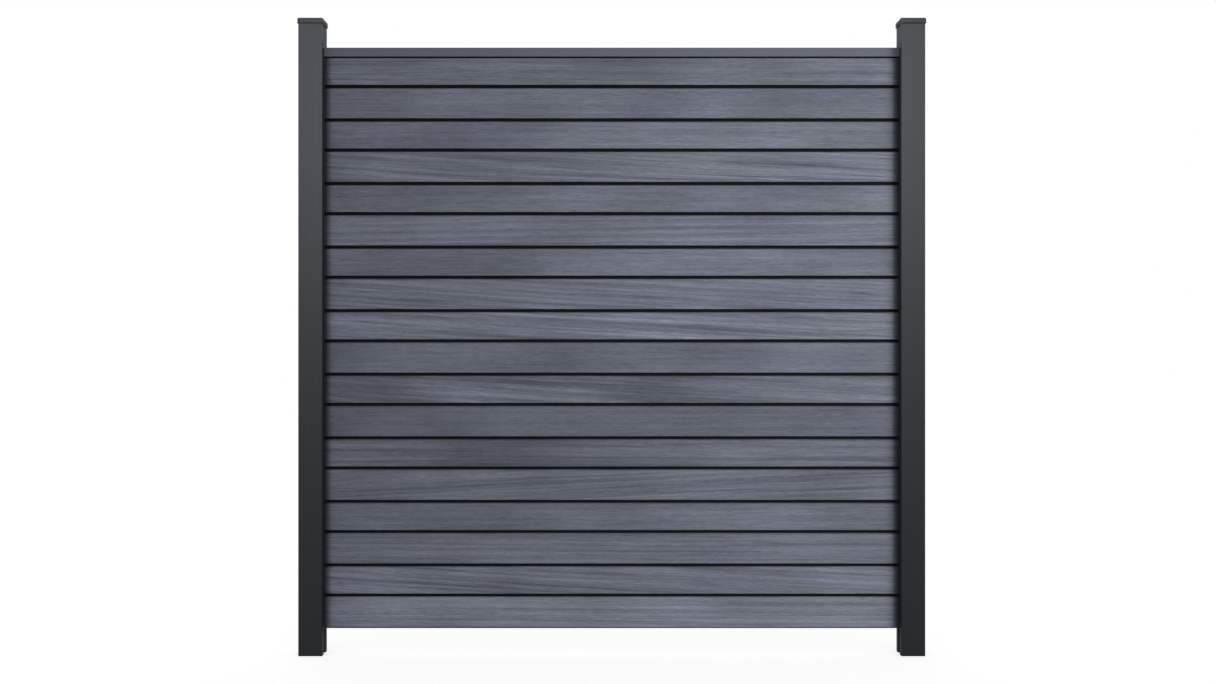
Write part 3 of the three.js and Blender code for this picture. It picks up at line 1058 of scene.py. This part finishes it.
@dataclass
class BoardStack:
    """Hollow boards with two slats each, stacked tongue in groove."""

    finishes: Finishes
    slats: Sequence[Slat]  # from the ground up, two for each board
    thickness: float = 0.020
    slat_pitches: Point = (0.105, 0.095)  # of the lower and the upper slat
    groove_height: float = 0.009
    slope: float = 0.003  # how far a slat's top falls from the groove's floor to its face
    slope_radius: float = 0.0012
    drip_rise: float = 0.0015
    drip_radius: float = 0.0006
    tongue_thickness: float = 0.007
    tongue_rise: float = 0.012
    tongue_radius: float = 0.0008
    wall: float = 0.0035
    rib: float = 0.003
    chamber_radius: float = 0.0015
    corner_steps: int = 4  # straight steps on a rounded corner of the skin
    chamber_steps: int = 3  # and of a chamber
    relief_depth: float = 0.00028
    relief_row: float = 0.0025  # height of a row of faces on a slat
    relief_step: float = 0.012  # length of a face along the board
    pieces: list[bpy.types.Object] = field(default_factory=list)

    def outline(self) -> Outline:
        """The board's outer section in Y and Z, with its lower edge at 0."""
        half, tongue = self.thickness / 2, self.tongue_thickness / 2
        slot, lower_top = tongue + TOUCH_GAP, self.slat_pitches[0]
        top = sum(self.slat_pitches)
        corners: list[Corner] = [(slot, self.tongue_rise + TOUCH_GAP), (slot, self.drip_rise)]
        for bottom, slat_top in ((0.0, lower_top), (lower_top, top)):
            root = slat_top - self.groove_height
            corners += [
                (half, bottom, self.drip_radius),
                (half, root - self.slope, self.slope_radius),
                (tongue, root),
                (tongue, slat_top + self.drip_rise),
            ]
        corners[-1] = (tongue, top + self.tongue_rise, self.tongue_radius)
        return divided(rounded(mirrored(corners), self.corner_steps), self.relief_row)

    def chambers(self) -> list[Outline]:
        """The sections of the board's four chambers."""
        half = self.thickness / 2 - self.wall
        lower_top, top = self.slat_pitches[0], sum(self.slat_pitches)
        floors = (self.tongue_rise + TOUCH_GAP + self.wall, lower_top + self.drip_rise + self.wall)
        found = []
        for floor, slat_top in zip(floors, (lower_top, top)):
            ceiling = slat_top - self.groove_height - self.slope - self.wall
            height = (ceiling - floor - self.rib) / 2
            for low in (floor, floor + height + self.rib):
                corners = rectangle((-half, low), (half, low + height), self.chamber_radius)
                found.append(rounded(corners, self.chamber_steps))
        return found

    def build(self) -> None:
        """Makes and dresses every board."""
        rule = BoardRule()
        outlines = [self.outline(), *self.chambers()]
        hidden = [0.0] + [1.0] * (len(outlines) - 1)
        for number, pair in enumerate(zip(self.slats[::2], self.slats[1::2]), 1):
            node = f"board_{number}"
            mesh = rule.run(section_mesh(outlines, hidden), self._values(node, number, pair))
            self.pieces.append(place_piece(f"composite_{node}", mesh, "grey_composite", [node]))
            grains = " under ".join(slat.grain.name for slat in pair)
            log.info("%s: %d faces, %s", node, len(mesh.polygons), grains)

    def _values(self, node: str, number: int, pair: Sequence[Slat]) -> dict[str, object]:
        """Values of the rule's inputs for one board.

        Args:
            node: The node that the board stands for.
            number: The board's number from the ground up.
            pair: Its lower and its upper slat.

        Returns:
            The values by name.
        """
        low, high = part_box(node)
        length = high.x - low.x
        values: dict[str, object] = {
            "Start": low.x,
            "Length": length,
            "Steps": round(length / self.relief_step),
            "Turn": Axis.ALONG.value,
            "Base Z": low.z,
            "Slat split": self.slat_pitches[0] - self.groove_height / 2,
            "Half thickness": self.thickness / 2,
            "Relief depth": self.relief_depth,
            "Seed": float(number),
            "Finish": self.finishes.composite,
            "Cut finish": self.finishes.composite_cut,
        }
        foot = 0.0
        for name, slat, pitch in zip(("Lower", "Upper"), pair, self.slat_pitches):
            values[f"{name} fall"], values[f"{name} strength"] = slat.grain.value
            values[f"{name} tone"] = slat.tone
            values[f"{name} foot"] = foot
            foot += pitch
            values[f"{name} top"] = foot - self.groove_height - self.slope
        return values


@dataclass
class StackEnds:
    """The aluminium start profile under the stack and the top rail over it."""

    finishes: Finishes
    half_thickness: float = 0.010
    tongue_half: float = 0.0035
    wall: float = 0.0015
    base_height: float = 0.003
    tongue_rise: float = 0.012
    start_radius: float = 0.0006
    rail_chamber: float = 0.0071
    rail_lap: float = 0.0053
    rail_radius: float = 0.0015
    longest_step: float = 0.02
    pieces: list[bpy.types.Object] = field(default_factory=list)

    def start_outlines(self) -> list[Outline]:
        """The start profile's section in Y and Z, with its underside at 0."""
        top = self.base_height + TOUCH_GAP + self.tongue_rise
        half: list[Corner] = [
            (self.half_thickness, 0.0, self.start_radius),
            (self.half_thickness, self.base_height, self.start_radius),
            (self.tongue_half, self.base_height),
            (self.tongue_half, top, self.start_radius),
        ]
        inner = self.tongue_half - self.wall
        hollow = rectangle((-inner, self.wall), (inner, top - self.wall))
        return [divided(rounded(mirrored(half)), self.longest_step), rounded(hollow)]

    def rail_outlines(self) -> list[Outline]:
        """The top rail's section in Y and Z, with the lower edge of its skirts at 0."""
        slot, slot_top = self.tongue_half + TOUCH_GAP, self.rail_lap + self.tongue_rise + TOUCH_GAP
        top = slot_top + self.rail_chamber + 2 * self.wall
        half: list[Corner] = [
            (slot, slot_top),
            (slot, 0.0),
            (self.half_thickness, 0.0, self.start_radius),
            (self.half_thickness, top, self.rail_radius),
        ]
        inner, side = self.half_thickness - self.wall, slot + self.wall
        holes = [
            rectangle((-inner, slot_top + self.wall), (inner, top - self.wall)),
            rectangle((side, self.wall), (inner, slot_top)),
            rectangle((-inner, self.wall), (-side, slot_top)),
        ]
        return [divided(rounded(mirrored(half)), self.longest_step), *(rounded(hole) for hole in holes)]

    def build(self, rule: ExtrusionRule) -> None:
        """Makes and dresses both profiles.

        Args:
            rule: The rule that extrudes them.
        """
        for node, outlines, coat, slot in (
            ("start_profile", self.start_outlines(), self.finishes.base_coat, "post_coat"),
            ("top_rail", self.rail_outlines(), self.finishes.rail_coat, "rail_coat"),
        ):
            low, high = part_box(node)
            lifted = [[(y, z + low.z) for y, z in outline] for outline in outlines]
            mesh = rule.extrude(lifted, (low.x, high.x), Axis.ALONG, coat, self.finishes.bare)
            self.pieces.append(place_piece(f"coated_{node}", mesh, slot, [node]))
            log.info("%s: %d faces", node, len(mesh.polygons))


# ---- Posts ----


class Side(Enum):
    """Which post, and the direction along X from it to the boards."""

    LEFT = 1
    RIGHT = -1


class Look(Enum):
    """Looks of a post's pieces, which start their names, and the material slots of the record."""

    COATED = "post_coat"
    RUBBER = "black_rubber"


@dataclass
class EndPost:
    """A channelled post with its cap, the strip in its outward channel, and its seals."""

    side: Side
    finishes: Finishes
    half_width: float = 0.0375
    wall: float = 0.002
    corner_radius: float = 0.003
    inner_radius: float = 0.001
    lip_radius: float = 0.0008
    channel_half: float = 0.0126
    channel_depth: float = 0.016
    port_radius: float = 0.0022
    port_wall: float = 0.0018
    port_sides: int = 24
    boss_steps: int = 18
    hole_radius: float = 0.0024
    hole_inset: float = 0.014
    hole_pitch: float = 0.020
    holes_in_row: int = 2
    cover_thickness: float = 0.0018
    cover_leg: float = 0.009
    cover_leg_thickness: float = 0.0012
    cover_radius: float = 0.0004
    seal_radius: float = 0.0007
    cap_overhang: float = 0.003
    cap_rise: float = 0.005
    cap_skirt: float = 0.012
    cap_edge: float = 0.004
    cap_lip: float = 0.0008
    plug_wall: float = 0.002
    outer_steps: int = 8  # straight steps on a rounded edge of the post's skin or of the cap
    inner_steps: int = 4  # and on any smaller one
    longest_step: float = 0.02

    def __post_init__(self) -> None:
        """Reads where the post stands."""
        self.pieces: dict[Look, list[bpy.types.Object]] = {look: [] for look in Look}
        self.name = self.side.name.lower()
        self.low, self.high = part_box(f"post_{self.name}")
        self.axis_x = (self.low.x + self.high.x) / 2

    def build(self, extrusion: ExtrusionRule, drill: DrillRule) -> None:
        """Makes and dresses the post and all that it carries.

        Args:
            extrusion: The rule that extrudes sections.
            drill: The rule that drills screw holes.
        """
        coat, bare, rubber = self.finishes.post_coat, self.finishes.bare, self.finishes.rubber
        post, cover = f"post_{self.name}", f"channel_cover_{self.name}"
        for node, outlines in ((post, self.post_outlines()), (cover, [self.cover_outline()])):
            low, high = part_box(node)
            mesh = extrusion.extrude(self._moved(outlines), (low.z, high.z), Axis.UP, coat, bare)
            if node == post:
                mesh = self._drilled(mesh, drill)
            self._keep(mesh, Look.COATED, node)
        for face in ("front", "back"):
            node = f"seal_{self.name}_{face}"
            low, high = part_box(node)
            near, far = low.x - self.axis_x, high.x - self.axis_x
            strip = rounded(rectangle((near, low.y), (far, high.y), self.seal_radius))
            placed = self._moved([divided(strip, self.longest_step)])
            mesh = extrusion.extrude(placed, (low.z, high.z), Axis.UP, rubber, rubber)
            self._keep(mesh, Look.RUBBER, node)
        self._keep(self.cap_mesh(), Look.COATED, f"post_cap_{self.name}")

    def _keep(self, mesh: bpy.types.Mesh, look: Look, node: str) -> None:
        """Places a finished mesh and reports it.

        Args:
            mesh: The mesh.
            look: Its look.
            node: The node that it stands for.
        """
        piece = place_piece(f"{look.name.lower()}_{node}", mesh, look.value, [node])
        self.pieces[look].append(piece)
        log.info("%s: %d faces", piece.name, len(mesh.polygons))

    def _moved(self, outlines: Sequence[Outline]) -> list[Outline]:
        """Outlines about the post's own axis, moved to where it stands."""
        return [[(x + self.axis_x, y) for x, y in outline] for outline in outlines]

    def _drilled(self, tube: bpy.types.Mesh, drill: DrillRule) -> bpy.types.Mesh:
        """Drills the holes of the brackets' screws.

        Args:
            tube: The extruded post.
            drill: The rule that drills it.

        Returns:
            The drilled post.
        """
        shelf_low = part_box(f"bracket_bottom_{self.name}")[1].z
        shelf_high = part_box(f"bracket_top_{self.name}")[0].z
        floor_x = self.side.value * (self.half_width - self.channel_depth - self.wall / 2)
        return drill.run(tube, {
            "Hole radius": self.hole_radius,
            "Hole depth": 2 * self.wall,
            "Hole X": self.axis_x + floor_x,
            "Lower row Z": shelf_low - self.hole_inset - self.hole_pitch,
            "Upper row Z": shelf_high + self.hole_inset,
            "Pitch": self.hole_pitch,
            "Holes in a row": self.holes_in_row,
            "Hole finish": self.finishes.bare,
        })

    def post_outlines(self) -> list[Outline]:
        """The post's section: its skin, its chamber round the bosses of the ports, and the ports."""
        half, floor = self.half_width, self.half_width - self.channel_depth
        skin: list[Corner] = [
            (half, -half, self.corner_radius),
            (half, -self.channel_half, self.lip_radius),
            (floor, -self.channel_half),
            (floor, self.channel_half),
            (half, self.channel_half, self.lip_radius),
            (half, half, self.corner_radius),
        ]
        face, web = half - self.wall, self.channel_half + self.wall
        port_x = floor - self.wall - self.port_radius - self.port_wall / 2
        port_y = self.channel_half - self.port_radius - self.port_wall
        chamber: list[Corner] = [
            (face, -face, self.inner_radius),
            (face, -web, self.inner_radius),
            (floor - self.wall, -web),
            *self._boss(port_x, -port_y, floor - self.wall),
            *self._boss(port_x, port_y, floor - self.wall),
            (floor - self.wall, web),
            (face, web, self.inner_radius),
            (face, face, self.inner_radius),
        ]
        turns = angles(math.tau, self.port_sides)[:-1]
        ports = [(x, y) for x in (-port_x, port_x) for y in (-port_y, port_y)]
        return [
            divided(rounded(mirrored(skin), self.outer_steps), self.longest_step),
            rounded(mirrored(chamber), self.inner_steps),
            *(arc(x, y, self.port_radius, turns) for x, y in ports),
        ]

    def _boss(self, x: float, y: float, wall_x: float) -> Outline:
        """Points of the chamber's outline round the boss of one screw port.

        Args:
            x: Centre of the port.
            y: Centre of the port.
            wall_x: Inner face of the wall that the boss grows from.

        Returns:
            The points, with Y rising.
        """
        radius = self.port_radius + self.port_wall
        reach = math.acos((wall_x - x) / radius)
        around = angles(math.tau - 2 * reach, self.boss_steps)
        return arc(x, y, radius, (-reach - turn for turn in around))

    def cover_outline(self) -> Outline:
        """The section of the strip that closes the outward channel."""
        half, radius = self.channel_half - TOUCH_GAP, self.cover_radius
        outer, inner = self.half_width, self.half_width - self.cover_thickness
        end, leg = self.half_width - self.cover_leg, half - self.cover_leg_thickness
        corners: list[Corner] = [
            (outer, -half, radius), (outer, half, radius), (end, half, radius), (end, leg, radius),
            (inner, leg, radius), (inner, -leg, radius), (end, -leg, radius), (end, -half, radius),
        ]
        away = -self.side.value
        placed = [(away * x, y, r) for x, y, r in corners]
        return divided(rounded(placed, self.inner_steps), self.longest_step)

    def cap_mesh(self) -> bpy.types.Mesh:
        """The cap: a shallow lid with a rounded edge and a skirt, and two plugs under it."""
        low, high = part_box(f"post_cap_{self.name}")
        lid_z = high.z - self.cap_rise
        skirt_z = lid_z - self.cap_skirt
        half, radius = self.half_width + self.cap_overhang, self.corner_radius + self.cap_overhang
        inner, lip, edge = self.half_width + TOUCH_GAP, self.cap_lip, self.cap_edge
        rings = [
            (inner, self.corner_radius + TOUCH_GAP, lid_z),
            (inner, self.corner_radius + TOUCH_GAP, skirt_z + lip),
            (inner + lip, self.corner_radius + lip, skirt_z),
            (half - lip, radius - lip, skirt_z),
            (half, radius, skirt_z + lip),
        ]
        for turn in angles(math.pi / 2, self.outer_steps):
            inset = edge * (1 - math.cos(turn))
            rings.append((half - inset, radius - inset, high.z - edge * (1 - math.sin(turn))))
        rings.append((half - 4 * edge, radius - edge, high.z))
        vertices: list[Point3] = []
        for reach, bend, z in rings:
            outline = rounded(rectangle((-reach, -reach), (reach, reach), bend), self.outer_steps)
            vertices += [(x + self.axis_x, y, z) for x, y in outline]
        count = len(vertices) // len(rings)
        starts = range(0, len(vertices), count)
        crown, mouth = tuple(range(starts[-1], len(vertices))), tuple(reversed(range(count)))
        faces = [*quads(starts, count), crown, mouth]
        for direction in (-1, 1):
            self._add_plug(vertices, faces, direction, low.z, lid_z)
        mesh = new_mesh("cap", vertices, faces=faces)
        mesh.materials.append(self.finishes.cap_coat)
        return mesh

    def _add_plug(
        self, vertices: list[Point3], faces: list[Face], direction: int, bottom: float, lid_z: float
    ) -> None:
        """Adds the ring-shaped plug for one of the post's wide chambers to the cap.

        Args:
            vertices: The cap's vertices so far.
            faces: The cap's faces so far.
            direction: -1 for the front chamber and 1 for the back one.
            bottom: Height of the plug's end.
            lid_z: Height of the lid's underside.
        """
        reach = self.half_width - self.wall - TOUCH_GAP
        near = self.channel_half + self.wall + TOUCH_GAP
        front, back = sorted((direction * near, direction * reach))
        thin, radius = self.plug_wall, self.inner_radius
        outside = rectangle((-reach, front), (reach, back), radius)
        inside = rectangle((thin - reach, front + thin), (reach - thin, back - thin), radius / 2)
        outer, inner = (rounded(corners, self.inner_steps) for corners in (outside, inside))
        top = lid_z + self.cap_rise / 2
        first, count = len(vertices), len(outer)
        for outline, z in ((outer, bottom), (outer, top), (inner, top), (inner, bottom)):
            vertices.extend((x + self.axis_x, y, z) for x, y in outline)
        faces.extend(quads([*range(first, len(vertices), count), first], count))


# ---- Fixings ----


@dataclass
class Fixings:
    """The brackets in the channels, which keep their nodes, and their screws."""

    finishes: Finishes
    sides: int = 32
    shank_radius: float = 0.0021
    root_radius: float = 0.00165
    shank_length: float = 0.014
    point_length: float = 0.003
    thread_pitch: float = 0.0014
    crest: Point = (0.45, 0.55)  # where a thread's crest starts and ends in its pitch
    head_radius: float = 0.0042
    head_height: float = 0.0026
    rim_height: float = 0.2  # of the head, against its height
    dome_steps: int = 8
    dome_power: float = 0.6  # 1 gives a round dome, and less gives a fuller one
    crown_radius: float = 1.18  # of the flat on the head, against the recess's
    recess_radius: float = 0.0023
    recess_half_width: float = 0.0005
    recess_depth: float = 0.0015
    recess_taper: float = 0.8  # width of its floor, against its mouth's
    pieces: list[bpy.types.Object] = field(default_factory=list)

    def profile(self) -> list[Point]:
        """Radius and height of the screw from its point to the edge of its crown, head up."""
        z, pitch = self.point_length - self.shank_length, self.thread_pitch
        found: list[Point] = [(0.0, -self.shank_length), (self.root_radius, z)]
        while z + pitch < -pitch:
            found += [(self.shank_radius, z + pitch * share) for share in self.crest]
            found.append((self.root_radius, z + pitch))
            z += pitch
        found += [(self.root_radius, 0.0), (self.head_radius, 0.0)]
        crown = self.recess_radius * self.crown_radius
        for turn in angles(math.pi / 2, self.dome_steps):
            bulge = (self.head_radius - crown) * math.cos(turn) ** self.dome_power
            rise = self.rim_height + (1 - self.rim_height) * math.sin(turn)
            found.append((crown + bulge, self.head_height * rise))
        return found

    def template(self) -> bpy.types.Object:
        """One screw with a cross recess, its head towards +X and the origin under the head."""
        count = self.sides
        (_, tip), *rings = self.profile()
        vertices: list[Point3] = [(tip, 0.0, 0.0)]
        for radius, height in rings:
            circle = arc(0.0, 0.0, radius, angles(math.tau, count)[:-1])
            vertices += [(height, y, z) for y, z in circle]
        faces: list[Face] = [(0, 1 + (step + 1) % count, 1 + step) for step in range(count)]
        faces += quads(range(1, len(vertices), count), count)
        self._crown(vertices, faces)
        return add_object("screw_template", new_mesh("screw", vertices, faces=faces))

    def _crown(self, vertices: list[Point3], faces: list[Face]) -> None:
        """Closes the head with a flat crown that has a cross recess in it.

        Args:
            vertices: The screw's vertices so far, the last ring at the crown's edge.
            faces: The screw's faces so far.
        """
        rim = len(vertices) - self.sides
        arm, wide = self.recess_radius, self.recess_half_width
        cross = [(arm, -wide), (arm, wide), (wide, wide), (wide, arm), (-wide, arm), (-wide, wide)]
        cross += [(-x, -y) for x, y in cross]
        top, taper, count = self.head_height, self.recess_taper, len(cross)
        mouth, floor = len(vertices), len(vertices) + count
        vertices += [(top, y, z) for y, z in cross]
        vertices += [(top - self.recess_depth, y * taper, z * taper) for y, z in cross]
        bearings = [math.atan2(z, y) % math.tau for y, z in cross]
        order = sorted(range(count), key=lambda index: bearings[index])
        nearest = [
            min(order, key=lambda index: abs((bearings[index] - turn + math.pi) % math.tau - math.pi))
            for turn in angles(math.tau, self.sides)[:-1]
        ]
        for step in range(self.sides):
            after = (step + 1) % self.sides
            a, b = nearest[step], nearest[after]
            corners = (mouth + a,) if a == b else (mouth + b, mouth + a)
            faces.append((rim + step, rim + after, *corners))
        faces += quads([mouth, floor], count)
        faces.append(tuple(range(floor, floor + count)))

    def build(self, rule: ScatterRule) -> None:
        """Sets the screws and dresses the brackets.

        Args:
            rule: The rule that sets the screws.
        """
        nodes = sorted(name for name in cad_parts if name.startswith("screw_"))
        points, facing = [], []
        for node in nodes:
            low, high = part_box(node)
            is_left = "_left" in node
            head_x = high.x - self.head_height if is_left else low.x + self.head_height
            points.append((head_x, (low.y + high.y) / 2, (low.z + high.z) / 2))
            facing.append(0.0 if is_left else math.pi)
        drawn = new_mesh("screw_places", points)
        drawn.attributes.new("facing", "FLOAT", "POINT").data.foreach_set("value", facing)
        template = self.template()
        mesh = rule.run(drawn, {"Template": template, "Finish": self.finishes.steel})
        bpy.data.objects.remove(template)
        self.pieces.append(place_piece("steel_screws", mesh, "stainless_steel", nodes))
        log.info("steel_screws: %d screws, %d faces", len(points), len(mesh.polygons))
        for name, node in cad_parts.items():
            if name.startswith("bracket_"):
                node.data.materials.clear()
                node.data.materials.append(self.finishes.steel)
                self.pieces.append(node)
                log.info("%s: brushed steel", name)


# ---- Studio ----


@dataclass(frozen=True)
class Lamp:
    """A soft box that lights some of the pieces and isn't seen itself."""

    name: str
    place: Point3
    target: Point3
    width: float
    height: float
    power: float

    def light(self, receivers: Sequence[bpy.types.Object]) -> None:
        """Hangs the lamp.

        Args:
            receivers: The objects that it lights.
        """
        data = bpy.data.lights.new(self.name, "AREA")
        data.shape = "RECTANGLE"
        data.size, data.size_y, data.energy = self.width, self.height, self.power
        lamp = add_object(self.name, data)
        lamp.location = self.place
        aim = Vector(self.target) - Vector(self.place)
        lamp.rotation_euler = aim.to_track_quat("-Z", "Y").to_euler()
        lamp.visible_camera = False
        lit = bpy.data.collections.new(f"{self.name}_receivers")
        for receiver in receivers:
            lit.objects.link(receiver)
        lamp.light_linking.receiver_collection = lit


@dataclass
class Studio:
    """A white studio: floor, world, lamps and the camera at the photograph's place."""

    camera_place: Point3 = (-0.0117, -4.2375, 0.9818)
    pixels_per_metre: float = 320.1  # in the plane of the posts' faces
    face_distance: float = 4.2
    ambient: float = 0.36
    floor_colour: Colour = (0.8, 0.8, 0.8, 1.0)
    floor_glow: float = 0.74
    floor_half: float = 40.0
    floor_fade: Point = (2.5, 7.0)  # distances from the screen over which the floor turns white

    def _seen(self, graph: Graph) -> Term:
        """1 where a camera, mirror or glass ray looks, and 0 where a surface gathers light."""
        path = graph.node("ShaderNodeLightPath", output="Is Camera Ray")
        return path + path.output("Is Glossy Ray") + path.output("Is Transmission Ray")

    def build_world(self) -> None:
        """Makes a world that looks white and lights everything evenly."""
        world = bpy.data.worlds.new("white_studio")
        world.use_nodes = True
        world.node_tree.nodes.clear()
        graph = Graph(world.node_tree)
        light, white = (
            graph.node("ShaderNodeBackground", inputs={"Color": WHITE, "Strength": strength})
            for strength in (self.ambient, 1.0)
        )
        both = graph.node("ShaderNodeMixShader", inputs={0: self._seen(graph), 1: light, 2: white})
        graph.end("ShaderNodeOutputWorld", both)
        bpy.context.scene.world = world

    def build_floor(self) -> None:
        """Makes a pale floor that keeps the soft shadow of the screen and turns white further out."""
        material = bpy.data.materials.new("pale_floor")
        material.use_nodes = True
        material.node_tree.nodes.clear()
        graph = Graph(material.node_tree)
        seen = self._seen(graph)
        place = graph.node("ShaderNodeTexCoord", output="Object")
        away = graph.node("ShaderNodeVectorMath", {"operation": "LENGTH"}, {0: place}, "Value")
        glow, white = (
            graph.node("ShaderNodeEmission", inputs={"Color": graph.vector(level, level, level)})
            for level in (seen * self.floor_glow, seen)
        )
        matt = graph.node("ShaderNodeBsdfDiffuse", inputs={"Color": self.floor_colour})
        near = graph.node("ShaderNodeAddShader", inputs={0: matt, 1: glow})
        far = graph.ramp(away, *self.floor_fade)
        both = graph.node("ShaderNodeMixShader", inputs={0: far, 1: near, 2: white})
        graph.end("ShaderNodeOutputMaterial", both)
        half = self.floor_half
        corners = [(x, y, 0.0) for x, y, _ in rectangle((-half, -half), (half, half))]
        mesh = new_mesh("floor", corners, faces=[(0, 1, 2, 3)])
        mesh.materials.append(material)
        add_object("floor", mesh)

    def build_camera(self) -> None:
        """Makes the camera."""
        data = bpy.data.cameras.new("camera")
        data.sensor_width = SENSOR_WIDTH
        data.lens = self.pixels_per_metre * self.face_distance / PHOTO_WIDTH * SENSOR_WIDTH
        camera = add_object("camera", data)
        camera.location = self.camera_place
        camera.rotation_euler = (math.pi / 2, 0.0, 0.0)
        bpy.context.scene.camera = camera

    def build(self, panel: Sequence[bpy.types.Object], posts: Sequence[bpy.types.Object]) -> None:
        """Makes the studio round the screen.

        Args:
            panel: The boards, the profiles, the seals and the fixings.
            posts: The posts and what is coated like them.
        """
        self.build_world()
        self.build_floor()
        self.build_camera()
        whole = [*panel, *posts]
        lamps = (
            (Lamp("key", (3.5, -2.5, 1.45), (0.2, 0.0, 1.0), 1.9, 1.9, 138.0), panel),
            (Lamp("left_fill", (-3.0, -2.4, 1.3), (-0.2, 0.0, 1.0), 1.2, 1.7, 8.0), panel),
            (Lamp("front_fill", (0.45, -1.5, 1.05), (0.45, 0.0, 1.05), 0.6, 2.2, 7.5), panel),
            (Lamp("left_post", (-0.55, -1.1, 1.8), (-0.9425, 0.0, 1.8), 0.2, 0.5, 19.0), posts),
            (Lamp("right_post", (0.55, -1.1, 1.8), (0.9425, 0.0, 1.8), 0.2, 0.5, 19.0), posts),
            (Lamp("back_left", (-2.6, 2.2, 1.5), (0.0, 0.0, 1.0), 1.5, 1.5, 60.0), whole),
            (Lamp("back_right", (2.6, 2.2, 1.5), (0.0, 0.0, 1.0), 1.5, 1.5, 60.0), whole),
        )
        for lamp, receivers in lamps:
            lamp.light(receivers)
        bpy.context.scene.view_settings.view_transform = "Standard"
        log.info("studio: floor, world, %d lamps and camera", len(lamps))


# ---- The screen ----


def slats_in_order() -> list[Slat]:
    """The slats from the ground up, each with its grain and its tone."""
    return [
        # Painted light: the bottom slat's tone is raised for the brighter light that falls on it.
        Slat(Grain.STREAKED, 1.30),
        Slat(Grain.FLOWING, 1.10),
        Slat(Grain.STREAKED, 1.03),
        Slat(Grain.PLAIN, 0.92),
        Slat(Grain.RISING, 0.945),
        Slat(Grain.STREAKED, 0.90),
        Slat(Grain.PLAIN, 0.83),
        Slat(Grain.FLOWING, 0.98),
        Slat(Grain.PLAIN, 0.96),
        Slat(Grain.FLOWING, 1.12),
        Slat(Grain.FLOWING, 1.12),
        Slat(Grain.PLAIN, 1.08),
        Slat(Grain.LIFTING, 1.085),
        Slat(Grain.PLAIN, 1.07),
        Slat(Grain.FLOWING, 1.115),
        Slat(Grain.PLAIN, 1.07),
        Slat(Grain.PLAIN, 1.06),
        Slat(Grain.STREAKED, 1.05),
    ]


def main() -> None:
    """Builds the screen and its studio, in order."""
    logging.basicConfig(level=logging.INFO, format="%(name)s: %(message)s")
    finishes = Finishes()
    stack = BoardStack(finishes, slats_in_order())
    stack.build()
    extrusion, drill = ExtrusionRule(), DrillRule()
    ends = StackEnds(finishes)
    ends.build(extrusion)
    posts = [EndPost(side, finishes) for side in Side]
    for post in posts:
        post.build(extrusion, drill)
    fixings = Fixings(finishes)
    fixings.build(ScatterRule())
    seals = [piece for post in posts for piece in post.pieces[Look.RUBBER]]
    coated = [piece for post in posts for piece in post.pieces[Look.COATED]]
    Studio().build([*stack.pieces, *ends.pieces, *seals, *fixings.pieces], coated)


if __name__ == "__main__":
    main()
